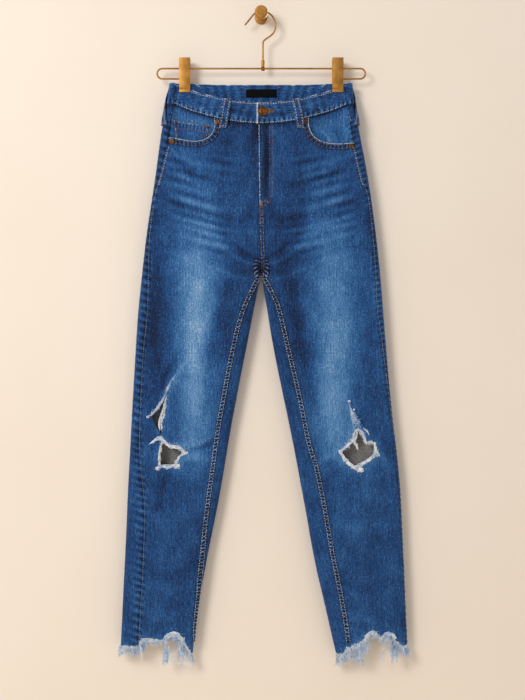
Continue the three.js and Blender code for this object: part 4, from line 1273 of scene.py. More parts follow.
def triangulated(outline, holes, torn):
    """Places and triangles of a flat panel, finer near its torn edges."""
    loops = [outline, *holes]
    border = np.vstack(loops)
    low, high = outline.min(0), outline.max(0)
    coarse, fine = grid_points(low, high, COARSE), grid_points(low, high, FINE)
    coarse = coarse[nearest(coarse, torn) > TEAR_REACH]
    fine = fine[(nearest(fine, torn) <= TEAR_REACH)] if len(torn) else fine[:0]
    coarse = coarse[nearest(coarse, border) > 0.6 * COARSE]
    fine = fine[nearest(fine, border) > 0.6 * FINE]
    grid = np.vstack([coarse, fine])
    keep = inside_loop(grid, outline)
    for hole in holes:
        keep &= ~inside_loop(grid, hole)
    points = np.vstack([border, grid[keep]])
    edges, start = [], 0
    for loop in loops:
        edges += [(start + i, start + (i + 1) % len(loop)) for i in range(len(loop))]
        start += len(loop)
    flat = [Vector(p) for p in points.tolist()]
    verts, _edges, faces, *_ids = geometry.delaunay_2d_cdt(flat, edges, [], 0, 1e-5, False)
    places = np.array([tuple(v) for v in verts])
    faces = np.array([f for f in faces if len(f) == 3])
    centres = places[faces].mean(axis=1)
    kept = inside_loop(centres, outline)
    for hole in holes:
        kept &= ~inside_loop(centres, hole)
    faces = faces[kept]
    a, b, c = (places[faces[:, i]] for i in range(3))
    area = ((b - a)[:, 0] * (c - a)[:, 1] - (b - a)[:, 1] * (c - a)[:, 0]) / 2
    faces[area < 0] = faces[area < 0][:, ::-1]
    used, order = np.unique(faces, return_inverse=True)
    return places[used], order.reshape(faces.shape), float(np.abs(area).sum())


def leg_panel(name, half, outline, holes, torn):
    places, faces, area = triangulated(outline, holes, torn)
    w, z = places.T
    from_tear = nearest(places, torn)
    patchy = 1.5 + 0.8 * np.sin(w / 2.1 + 2 * np.sin(z / 3.7)) * np.sin(z / 2.6 + np.sin(w / 4.1))
    bare = 0.9 * np.exp(-((from_tear / patchy) ** 2)) + 0.3 * np.exp(-((from_tear / 6) ** 2))
    tone = 0.12 * np.exp(-((from_tear / 12) ** 2))
    mesh = cloth_mesh(name, half, w, z, faces, bare=bare, tone=tone)
    piece = sewn(name + "_cloth", mesh, name)
    size = outline.max(0) - outline.min(0)
    return piece, size, area


def inner_side(slash):
    """The frayed part of the right knee's upper tear. Its outer side is a clean edge under the flap."""
    return slash[: int(0.42 * len(slash))]


torn_edges = {}


def make_panels():
    rng = np.random.default_rng(7)
    knees = {"right": [RIGHT_SLASH, RIGHT_KNEE], "left": [LEFT_KNEE]}
    for half in HALVES:
        outline, hem = front_outline(half, rng)
        loops = [nibbled(closed_line(hole, TORN_STEP), rng, 0.45) for hole in knees[half.name]]
        holes = [on_front(half, loop) for loop in loops]
        torn = np.vstack([hem, *holes])
        if half is RIGHT:
            torn = np.vstack([hem, inner_side(holes[0]), *holes[1:]])
        leg_panel(f"front_{half.name}", half, outline, holes, torn)
        torn_edges[f"knee_{half.name}"] = holes
        torn_edges[f"hem_front_{half.name}"] = hem
        outline, hem = back_outline(half, rng)
        leg_panel(f"back_{half.name}", half, outline, [], hem)
        torn_edges[f"hem_back_{half.name}"] = hem


make_panels()


# ---- yokes, waistband, loops, pockets


def make_yokes():
    for half in HALVES:
        name = f"yoke_{half.name}"
        mesh = patch(
            name, half, shares(50, 3, 1.2), shares(230, 3, 1.2),
            BACK_SEAM - GAP / 2, lambda X: yoke_seam(X) + GAP / 2,
            lambda z: side_seam(half, z) + GAP, lambda z: back_end(half, z) - GAP, worn=0.35,
        )
        piece = sewn(name + "_cloth", mesh, name)


def band_wear(X, z, w, v, u):
    """Abraded top edge, and scuffs along the band."""
    scuffs = 0.2 * np.clip(np.sin(w / 6.1 + z / 5) * np.sin(w / 13.7 - z / 9), 0, 1)
    return (0.42 + 0.2 * np.sin(w / 4.3)) * np.exp(-((v * BAND_HEIGHT / 1.3) ** 2)) + scuffs


def overlap_wear(X, z, w, v, u):
    """The same, with the front end of the band worn white."""
    return band_wear(X, z, w, v, u) + 0.9 * np.exp(-((u * 160 / 1.9) ** 2))


def band_tone(X, z, w):
    """Puckers between the two rows of stitches of the lower seam show as pale ribs."""
    above = z - np.where(w < 170, front_seam(X), BACK_SEAM)
    ribs = np.sin(wandering(w, BAND_PUCKER)) * np.exp(-(((above - 5) / 5) ** 2))
    seam = np.exp(-((above / 1.6) ** 2))
    return 0.07 + 0.27 * ribs - 0.12 * seam + 0.05 * np.sin(wandering(w + 0.4 * z, TUCK))


def make_waistband():
    look = {"wall": BAND, "edge": 1.4, "tone": band_tone, "lined": True, "crosswise": True}
    right = patch(
        "waistband_front_right", RIGHT, shares(38, 2, 1.2), shares(170, 2, 1.2),
        front_top, lambda X: front_seam(X) + GAP / 2,
        -24, lambda z: side_seam(RIGHT, z) - GAP / 2,
        lift=lambda X, z: -(BAND + GAP) * ease(42, 10, X), bare=band_wear, **look,
    )
    left = patch(
        "waistband_front_left", LEFT, shares(38, 2, 1.2), shares(158, 2, 1.2),
        front_top, lambda X: front_seam(X) + GAP / 2,
        -8, lambda z: side_seam(LEFT, z) - GAP / 2, bare=overlap_wear, **look,
    )
    for side, mesh, width in (("right", right, 172), ("left", left, 157)):
        piece = sewn(f"waistband_front_{side}_cloth", mesh, f"waistband_front_{side}")
    backs = []
    for half in HALVES:
        backs.append(
            patch(
                "band", half, shares(38, 2, 1.2), shares(200, 2, 1.2),
                WAIST_Z, BACK_SEAM + GAP / 2,
                lambda z: side_seam(half, z) + GAP, lambda z: back_w(half, 0 * z, z),
                joined=True, bare=band_wear, **look,
            )
        )
    piece = sewn("waistband_back_cloth", join_meshes("waistband_back", backs), "waistband_back")


def make_tag():
    mesh = patch(
        "waist_tag", RIGHT, shares(14.5, 1), shares(54, 2),
        -129, -143.5,
        lambda z: back_w(RIGHT, 27 + 0 * z, z), lambda z: back_w(RIGHT, -27 + 0 * z, z),
        wall=0.8, lift=-(BAND / 2 + GAP + 0.4), edge=0.4,
    )
    piece = sewn("woven_tag", mesh, "waist_tag", tag_cloth, "tag")


LOOP_WIDTH, LOOP_THICK, LOOP_SLACK, SIDE_SLACK = 13, 1.8, 5, 0.8
TACKED = BAND / 2 + 3 * GAP + LOOP_THICK / 2
SIDE_TOP, SIDE_BOTTOM = -128, -197


def side_loop_ends(half):
    top, bottom = np.array(float(SIDE_TOP)), np.array(float(SIDE_BOTTOM))
    return float(section(half, top).back_start) - 6, float(section(half, bottom).out_flat) + 7


BACK_TOP, BACK_BOTTOM = -123, -174
back_ends = [float(back_w(RIGHT, np.zeros(1), np.array([float(z)]))[0]) for z in (BACK_TOP, BACK_BOTTOM)]
# (name, half, girth at the top and at the bottom, height of the top and of the bottom, slack)
LOOPS = (
    ("front_right", RIGHT, 58, 66.5, -151, -202, LOOP_SLACK),
    ("front_left", LEFT, 59, 69, -151, -202, LOOP_SLACK),
    ("back", RIGHT, *back_ends, BACK_TOP, BACK_BOTTOM, LOOP_SLACK),
    ("side_right", RIGHT, *side_loop_ends(RIGHT), SIDE_TOP, SIDE_BOTTOM, SIDE_SLACK),
    ("side_left", LEFT, *side_loop_ends(LEFT), SIDE_TOP, SIDE_BOTTOM, SIDE_SLACK),
)


def loop_lift(top, bottom, slack):
    def lift(X, z):
        t = (top - z) / (top - bottom)
        return TACKED + slack * ease(0.05, 0.22, t) * (1 - ease(0.78, 0.95, t))

    return lift


stitch_lines = {"sand": [], "rust": [], "pale": []}


ON_CLOTH = 0.15  # how far a thread's middle lies off the cloth
ON_DENIM, ON_BAND = DENIM / 2 + ON_CLOTH, BAND / 2 + ON_CLOTH


def row_of_stitches(half, w, z, off):
    """Points along girths w and heights z, off the cloth's middle, and the way that the cloth faces there."""
    w, z, off = (np.array(values, float) for values in np.broadcast_arrays(w, z, off))
    return skin(half, w, z, off), outward(half, w, z)


def stitched(thread, half, w, z, off):
    """Keep a row of stitches for its colour's piece."""
    stitch_lines[thread].append(row_of_stitches(half, w, z, off))


def sewn_rows(rows, tree, name, **sizes):
    """One piece with a stitch, or a tooth, at every step along rows of (points, facing)."""
    lines, facing = zip(*rows)
    return grown(lines_mesh(name + "_rows", list(lines), face=list(facing)), tree, name, **sizes)


def straight(w1, z1, w2, z2, step=1.5):
    """Places (w, z) on a straight line."""
    count = max(2, int(np.hypot(w2 - w1, z2 - z1) / step))
    return np.stack([np.linspace(w1, w2, count), np.linspace(z1, z2, count)], axis=1)


def bar_tack(thread, half, w, z, width, height, off):
    """A dense zigzag of thread that pins two layers."""
    turns = int(height / 0.7)
    t = np.arange(turns * 2 + 1)
    ws = w - width / 2 + width * (t % 2)
    zs = z + height / 2 - height * t / t[-1]
    path = np.vstack([straight(ws[i], zs[i], ws[i + 1], zs[i + 1], 1.2) for i in range(len(t) - 1)])
    stitched(thread, half, *path.T, off)


def make_belt_loops():
    for name, half, at_top, at_bottom, top, bottom, slack in LOOPS:
        def middle(z):
            return mix(at_top, at_bottom, (top - z) / (top - bottom))

        lift = loop_lift(top, bottom, slack)
        mesh = patch(
            f"belt_loop_{name}", half, shares(51, 1.5, 1), shares(13, 1.1, 0.9),
            top, bottom,
            lambda z: middle(z) - LOOP_WIDTH / 2, lambda z: middle(z) + LOOP_WIDTH / 2,
            wall=LOOP_THICK, lift=lift, edge=0.9, worn=0.12 if "side" in name else 0.36, worn_reach=1.7,
            tone=0.05, lined=True,
        )
        piece = sewn(f"belt_loop_{name}_cloth", mesh, f"belt_loop_{name}")
        on_top = LOOP_THICK / 2 + ON_CLOTH
        z = np.linspace(top - 3, bottom + 3, 40)
        for side in (-4.0, 4.0):
            stitched("sand", half, middle(z) + side, z, lift(0, z) + on_top)
        for z_tack in (bottom + 3.5, top - 3.5):
            bar_tack("rust", half, float(middle(z_tack)), z_tack, 9, 2.2, float(lift(0, z_tack)) + on_top)


FACING_BACK = DENIM + 2 * GAP
POCKET_SAG = 7.5


def sunk(half, X, z):
    """How far the pocket's facing lies off the form: behind the front, and sagging in the mouth's middle."""
    below = ease(0, 16, front_seam(X) - z)
    inside = ease(0, 16, half.outer(z) - half.outseam(z) - X)
    within = ease(0, 14, X - 72)
    return -FACING_BACK - POCKET_SAG * below * inside * within


def make_front_pockets():
    for half in HALVES:
        name = f"pocket_facing_{half.name}"
        mesh = patch(
            name, half, shares(75, 2.2), shares(95, 2.2),
            lambda X: front_seam(X) - GAP, -248, 70, lambda z: side_seam(half, z) - GAP,
            lift=lambda X, z: sunk(half, X, z), tone=0.21,
        )
        piece = sewn(name + "_cloth", mesh, name)
        # the folded hem of the mouth lies on the panel just inside its edge
        path = mouth_line(half)
        across = [0.2, 0.5, 1.2, 2.2, 3.4, 5, 6.6, 8, 9.2, 9.9, 10.3]
        band = ribbon(
            f"pocket_hem_{half.name}", half, path[2:-2], across, DENIM / 2 + GAP + 0.45, 0.9,
            crown=0.5, rope=(6.5, 0.4, 1.5), tone=-0.12, rope_tone=0.22, rope_bare=0.16,
        )
        # its rolled edge is worn white
        edge = ribbon(
            f"pocket_edge_{half.name}", half, path, [-0.4, -0.2, 0.2, 0.6, 0.8], DENIM / 2 + GAP + 0.9, 1.1,
            crown=0.3, rope=(5, 0.15, 1), tone=0.3, bare=0.46, rope_bare=0.36,
        )
        piece = sewn(f"pocket_hem_{half.name}", join_meshes(f"pocket_hem_{half.name}", [band, edge]))
        beside = np.gradient(path, axis=0)
        beside /= np.linalg.norm(beside, axis=1, keepdims=True)
        beside = np.stack([beside[:, 1], -beside[:, 0]], axis=1)
        for away in (2.6, 8.2):
            stitched("rust", half, *(path + away * beside)[3:-3].T, DENIM / 2 + GAP + 1.5)


COIN = {"inner": 91, "outer": 152, "top_inner": -195, "top_outer": -186, "bottom": -238, "wall": 1.2}


def coin_top(X):
    return mix(COIN["top_inner"], COIN["top_outer"], (X - COIN["inner"]) / (COIN["outer"] - COIN["inner"]))


def coin_edges(z):
    inner = mix(COIN["inner"], COIN["inner"] + 9, np.clip((-195 - z) / 40, 0, 1))
    outer = mix(COIN["outer"], COIN["outer"] - 5, np.clip((-186 - z) / 50, 0, 1))
    return inner, outer


def coin_lift(X, z):
    return sunk(RIGHT, X, z) + (DENIM + COIN["wall"]) / 2 + 4 * GAP


def make_coin_pocket():
    mesh = patch(
        "coin_pocket", RIGHT, shares(46, 1.6, 1), shares(60, 1.6, 1),
        coin_top, COIN["bottom"],
        lambda z: coin_edges(z)[0], lambda z: coin_edges(z)[1],
        wall=COIN["wall"], lift=coin_lift, edge=0.9, worn=0.45, worn_reach=1.5,
        tone=lambda X, z, w: 0.06 + 0.24 * np.sin(X / 1.0) * np.exp(-(((coin_top(X) - z - 7) / 4) ** 2)),
    )
    piece = sewn("coin_pocket_cloth", mesh, "coin_pocket")
    on_top = COIN["wall"] / 2 + ON_CLOTH
    for below in (2.2, 12.5):
        X = np.linspace(COIN["inner"] + 2, COIN["outer"] - 2, 40)
        z = coin_top(X) - below
        stitched("rust", RIGHT, X, z, coin_lift(X, z) + on_top)
    z = np.linspace(-193, COIN["bottom"] + 1, 30)
    inner, outer = coin_edges(z)
    for X in (inner + 2.4, inner + 7.5, outer - 2.4):
        stitched("rust", RIGHT, X, z, coin_lift(X, z) + on_top)


POCKET = {"inner": 34, "outer": 160, "top": -236, "corner": -366, "point": -388, "wall": 1.2}


def make_back_pockets():
    middle = (POCKET["inner"] + POCKET["outer"]) / 2
    reach = POCKET["outer"] - middle

    def narrow(z):
        return 7 * np.clip((POCKET["top"] - z) / (POCKET["top"] - POCKET["corner"]), 0, 1)

    def foot(X):
        return mix(POCKET["point"], POCKET["corner"], np.clip(np.abs(X - middle) / reach, 0, 1))

    for half in HALVES:
        name = f"back_pocket_{half.name}"
        lift = (DENIM + POCKET["wall"]) / 2 + GAP
        mesh = patch(
            name, half, shares(145, 2.4, 1), shares(126, 2.4, 1),
            POCKET["top"], foot,
            lambda z: back_w(half, POCKET["outer"] - narrow(z), z),
            lambda z: back_w(half, POCKET["inner"] + narrow(z), z),
            wall=POCKET["wall"], lift=lift, edge=0.9, worn=0.42, worn_reach=1.6, tone=0.03,
        )
        piece = sewn(name + "_cloth", mesh, name)
        on_top = lift + POCKET["wall"] / 2 + ON_CLOTH
        for inset in (2.4, 8.6):
            z = np.linspace(POCKET["top"] - 2, POCKET["corner"] + 3, 60)
            for X in (POCKET["outer"] - narrow(z) - inset, POCKET["inner"] + narrow(z) + inset):
                stitched("sand", half, back_w(half, X, z), z, on_top)
            X = np.linspace(POCKET["inner"] + 7 + inset, POCKET["outer"] - 7 - inset, 60)
            z = foot(X) + inset
            stitched("sand", half, back_w(half, X, z), z, on_top)
        for below in (3, 21):
            X = np.linspace(POCKET["inner"] + 2, POCKET["outer"] - 2, 60)
            z = POCKET["top"] - below + 0 * X
            stitched("sand", half, back_w(half, X, z), z, on_top)
        for X in (POCKET["inner"] + 4, POCKET["outer"] - 4):
            z = np.array(float(POCKET["top"] - 5))
            bar_tack("rust", half, float(back_w(half, np.array(float(X)), z)), float(z), 3, 9, on_top)


make_yokes()
make_waistband()
make_tag()
make_belt_loops()
make_front_pockets()
make_coin_pocket()
make_back_pockets()


# ---- seams, fly and topstitching

def make_inseams():
    """The felled inner leg seam: a roped ridge with two rows of stitches."""
    for half in HALVES:
        z = np.arange(CROTCH_Z - 14, -1098, -1.5)
        over_crotch = flowing([(1.5, -430), (7, -434), (10.5, -444), (leg_seam(half, z[0]), z[0])], 1.5)
        path = np.vstack([over_crotch[:-1], np.stack([leg_seam(half, z), z], axis=1)])
        across = [-4.6, -4.2, -3.2, -2.2, -1.1, 0, 1.1, 2.2, 3.2, 4.2, 4.6]
        mesh = ribbon(
            f"inseam_{half.name}", half, path, across, DENIM / 2 + GAP + 0.5, 1.0,
            crown=0.9, rope=(SEAM_ROPE, 0.8, 4.0), tone=-0.15, rope_tone=0.42, rope_bare=0.40,
        )
        piece = sewn(f"inseam_fell_{half.name}", mesh)
        for away in (-3.0, 3.0):
            stitched("sand", half, path[20:-2, 0] + away, path[20:-2, 1], DENIM / 2 + GAP + 1.55)
    z = np.arange(CROTCH_Z + 4, float(yoke_seam(np.array(0.0))) - 4, 1.5)
    path = np.stack([back_w(RIGHT, 0.8 + 0 * z, z), z], axis=1)
    mesh = ribbon(
        "seat", RIGHT, path, [0, 0.5, 1.6, 3, 4.4, 5.9, 7, 7.5], DENIM / 2 + GAP + 0.5, 1.0,
        rope=(SEAM_ROPE, 0.35, 3.0), tone=-0.05, rope_tone=0.10, rope_bare=0.12,
    )
    piece = sewn("seat_seam_fell", mesh)
    for away in (2.2, 6.2):
        z = np.arange(CROTCH_Z + 10, -230, 1.5)
        stitched("sand", RIGHT, back_w(RIGHT, away + 0 * z, z), z, DENIM / 2 + GAP + 1.2)


FLY_STITCH_X = 20.0  # the J of topstitching that holds the fly facing
FLY_FOOT_Z = -338.0


def make_fly():
    z = np.arange(-197, FLY_FOOT_Z, -1.5)
    path = np.stack([fly_edge(z) + 0.3, z], axis=1)
    mesh = ribbon(
        "fly_edge", LEFT, path, [0.4, 0.2, -0.4, -1.0, -1.6, -2.0], DENIM / 2 + GAP + 0.3, 0.9,
        crown=0.4, rope=(5.2, 0.15, 1.0), tone=0.25, bare=0.32, rope_bare=0.16,
    )
    piece = sewn("fly_edge_fold", mesh)
    j = [(FLY_STITCH_X, -200), (FLY_STITCH_X + 0.4, -250), (FLY_STITCH_X, -300), (FLY_STITCH_X - 3, -322),
         (10, -334), (-1, -338)]
    for inset in (0, 5.5):
        line = flowing([(x - inset if x > 5 else x, z + inset * (x < 15)) for x, z in j], 1.5)
        stitched("rust", LEFT, *line.T, ON_DENIM)
    bar_tack("rust", LEFT, -0.5, FLY_FOOT_Z + 3, 4, 12, ON_DENIM + 0.6)
    bar_tack("rust", LEFT, 11, -330, 9, 2.5, ON_DENIM)
    # the crotch seam: the left front lies over the right one, with two rows
    z = np.arange(FLY_FOOT_Z - 2, CROTCH_Z + 3, -1.5)
    path = np.stack([fly_edge(z) + 0.3, z], axis=1)
    mesh = ribbon(
        "crotch_seam", LEFT, path, [0.4, 0, -1.2, -2.8, -4.4, -5.8, -6.2], DENIM / 2 + GAP + 0.35, 0.9,
        crown=0.6, rope=(SEAM_ROPE, 0.3, 2.0), tone=-0.02, rope_tone=0.08, rope_bare=0.2, worn=0.3,
    )
    piece = sewn("crotch_seam_fold", mesh)
    for away in (1.0, 5.2):
        stitched("rust", LEFT, path[:, 0] + away, path[:, 1], DENIM / 2 + GAP + 1.2)
    # hidden behind the fly: tape, shield and the chain's teeth
    for name, x1, x2, top, bottom, middle, wall in (
        ("zip_tape", -12, 14, -197, -328, -5.2, 1.2),
        ("fly_shield", -16, 26, -197, -334, -8.0, 1.4),
    ):
        mesh = patch(
            name, LEFT, shares(130, 2.5), shares(30, 2.5),
            top, bottom, x1, x2, wall=wall, lift=middle, tone=-0.15,
        )
        piece = sewn(name + "_cloth", mesh, name)


def make_seam_stitches():
    """Rows beside the waistband, yoke and outer seams."""
    for half in HALVES:
        start = -22 if half.sign < 0 else -6
        ends = np.array([float(side_seam(half, np.array(-165.0))) - 3])
        for above in (2.6, BAND_HEIGHT - 3.2):
            X = np.arange(start if half.sign > 0 else 9, ends[0], 1.5)
            z = front_seam(X) + above
            stitched("sand", half, X, z, ON_BAND)
        for above in (2.6, BAND_HEIGHT - 3.2):
            X = np.arange(2.0, 152, 1.5)
            z = BACK_SEAM + above + 0 * X
            stitched("sand", half, back_w(half, X, z), z, ON_BAND)
        for above in (4.2, 7.4):
            X = np.arange(2.0, 152, 1.5)
            z = BACK_SEAM + above + 0 * X
            stitched("rust", half, back_w(half, X, z), z, -ON_BAND)
        for below in (3.0, 8.4):
            X = np.arange(3.0, 158, 1.5)
            z = yoke_seam(X) - below
            stitched("sand", half, back_w(half, X, z), z, ON_DENIM)
        z = np.arange(-236, -300, -1.5)
        stitched("sand", half, side_seam(half, z) - 3, z, ON_DENIM)
        z = np.arange(-240, -1096, -1.5)
        stitched("pale", half, side_seam(half, z) - 0.8, z, DENIM / 2 + 0.1)


make_inseams()
make_fly()
make_seam_stitches()

for colour, material in (("sand", sand_thread), ("rust", rust_thread), ("pale", pale_thread)):
    tree = stitch_tree(colour + "_stitches", material)
    belongs(sewn_rows(stitch_lines[colour], tree, colour + "_topstitching"), "thread")


# ---- torn edges


def edge_frame(half, places, closed):
    """Points on a torn edge, the direction across it in the cloth, and the way that the cloth faces."""
    w, z = places.T
    points = skin(half, w, z, np.zeros(len(w)))
    face = outward(half, w, z)
    if closed:
        ahead = np.roll(points, -1, axis=0) - np.roll(points, 1, axis=0)
    else:
        ahead = np.gradient(points, axis=0)
    ahead /= np.linalg.norm(ahead, axis=1, keepdims=True) + 1e-9
    return points, np.cross(ahead, face), face


fringe_sets = {}
fringe = fringe_tree("white_fringe", frayed_cotton)
blue_fringe = fringe_tree("blue_fringe", blue_ends)
strand_sets = {}


def strand(name, points, radius, kind="white"):
    """A loose strand, given as points in space."""
    strand_sets.setdefault((name, kind, radius), []).append(flowing(points, 1.0))


def over_front(half, points):
    """x, z and height above the front face, as points in space."""
    x, z, lift = np.array(points, float).T
    w = front_w(half, half.sign * x, z)
    return skin(half, w, z, DENIM / 2 + lift)


def frayed_along(name, half, route, count, radius, rng, kind="white"):
    """Strands that share a route of (x, z, lift, spread): each follows a part of it, a little off it."""
    line = flowing(route, 1.3)
    for _ in range(count):
        run = max(4, int(len(line) * rng.uniform(0.3, 0.75)))
        start = rng.integers(0, max(1, len(line) - run))
        part = line[start : start + run : 2]
        stray = rng.uniform(-1.1, 1.1, 3) + rng.uniform(-0.8, 0.8, (len(part), 3))
        off = stray * part[:, 3:] * (1, 1, 0.4)
        shade = "blue" if rng.random() < 0.3 else kind
        strand(name, over_front(half, part[:, :3] + off), radius, shade)


def scribble(name, half, x, z, reach, count, rng, radius=0.36, kind="white"):
    """A knot of loose ends: short strands that cross one another."""
    for _ in range(count):
        xs, zs = x + reach * rng.uniform(-1, 1, 5), z + reach * rng.uniform(-0.8, 0.8, 5)
        points = np.stack([xs, zs, rng.uniform(0.2, 2.0, 5)], axis=1)
        strand(name, over_front(half, points), radius, kind)


def fringed(name, half, places, closed, into, reach, tree, **sizes):
    """Threads along a torn edge; into is +1 to point off the cloth and -1 to lie back over it."""
    points, pull, face = edge_frame(half, places, closed)
    if closed:
        middle = points.mean(axis=0)
        turned = np.sign(np.sum((middle - points) * pull, axis=1).mean()) * into
    else:
        turned = np.sign((pull[:, 2] * -1).mean()) * into
    pull = pull * turned + 0.35 * face
    if closed:
        points, pull, face = (np.vstack([a, a[:1]]) for a in (points, pull, face))
    far = np.full(len(points), reach * MM) if np.isscalar(reach) else np.asarray(reach) * MM
    source = lines_mesh(name, [points], pull=[pull], face=[face], reach=[far])
    fringe_sets.setdefault(name, []).append(grown(source, tree, name, **sizes).data)


def ragged(count, rng, low=0.25):
    """Shares from low to 1 that wander from point to point."""
    t = np.arange(count)
    phase = rng.uniform(0, 6, 3)
    wave = np.sin(t / 2.3 + phase[0]) + np.sin(t / 5.1 + phase[1]) + 0.7 * np.sin(t / 11 + phase[2])
    return low + (1 - low) * np.clip(0.5 + 0.35 * wave, 0, 1)


def make_knees():
    rng = np.random.default_rng(21)
    for half in HALVES:
        name = f"knee_fray_{half.name}"
        for number, loop in enumerate(torn_edges[f"knee_{half.name}"]):
            slash = half is RIGHT and number == 0
            closed = not slash
            if slash:
                loop = inner_side(loop)
            for turn, reach, seed in ((1, 2.0 if slash else 3.4, 1.0), (-1, 1.6 if slash else 3.2, 5.0)):
                far = reach * ragged(len(loop), rng, 0.1)
                far = np.append(far, far[0]) if closed else far
                fringed(name, half, loop, closed, turn, far, fringe, Spacing=0.6 * MM, Thickness=0.24 * MM,
                        Spread=1.2, Curl=7 * MM, Seed=seed + number)


# How far the hem's threads hang, as (x, reach).
HEM_REACH = {
    "right": [(-250, 17), (-214, 15), (-205, 9), (-172, 8), (-166, 4), (-150, 5), (-144, 18), (-112, 18)],
    "left": [(124, 18), (146, 22), (158, 18), (164, 30), (178, 26), (184, 6), (208, 7), (222, 24)]
    + [(240, 30), (260, 14)],
}


def make_hems():
    rng = np.random.default_rng(33)
    for half in HALVES:
        name = f"hem_fray_{half.name}"
        where, most = np.array(HEM_REACH[half.name], float).T
        for side in ("front", "back"):
            line = torn_edges[f"hem_{side}_{half.name}"]
            x = half.sign * place(half, line[:, 0], line[:, 1])[0]
            reach = np.interp(x, where, most)
            for colour, tree, spacing, thick, share, seed in (
                ("", fringe, 0.5, 0.28, 0.95, 9.0), ("_blue", blue_fringe, 0.55, 0.32, 0.85, 9.9),
            ):
                far = share * reach * ragged(len(line), rng, 0.35)
                fringed(name + colour, half, line, False, 1, far, tree, Spacing=spacing * MM,
                        Thickness=thick * MM, Spread=0.5, Curl=10 * MM, Droop=0.4, Seed=seed)
            far = 4.0 * ragged(len(line), rng, 0.1)
            fringed(name, half, line, False, -1, far, fringe, Spacing=1.1 * MM, Thickness=0.26 * MM,
                    Spread=1.0, Curl=6 * MM, Seed=4.0)


def hanging(name, half, x, z, length, lean, rng, kind="white", radius=0.42, count=1, spread=1.5):
    """Strands that hang from a place on the hem."""
    for _ in range(count):
        t = np.linspace(0, 1, 6)
        sway = rng.uniform(-1.3, 1.3, 6) * t
        xs = x + rng.uniform(-spread, spread) + (lean + rng.uniform(-3, 3)) * t + sway
        zs = z - length * rng.uniform(0.6, 1.0) * t
        lift = rng.uniform(0, 1.6) + 1.2 * t
        strand(name, over_front(half, np.stack([xs, zs, lift], axis=1)), radius, kind)


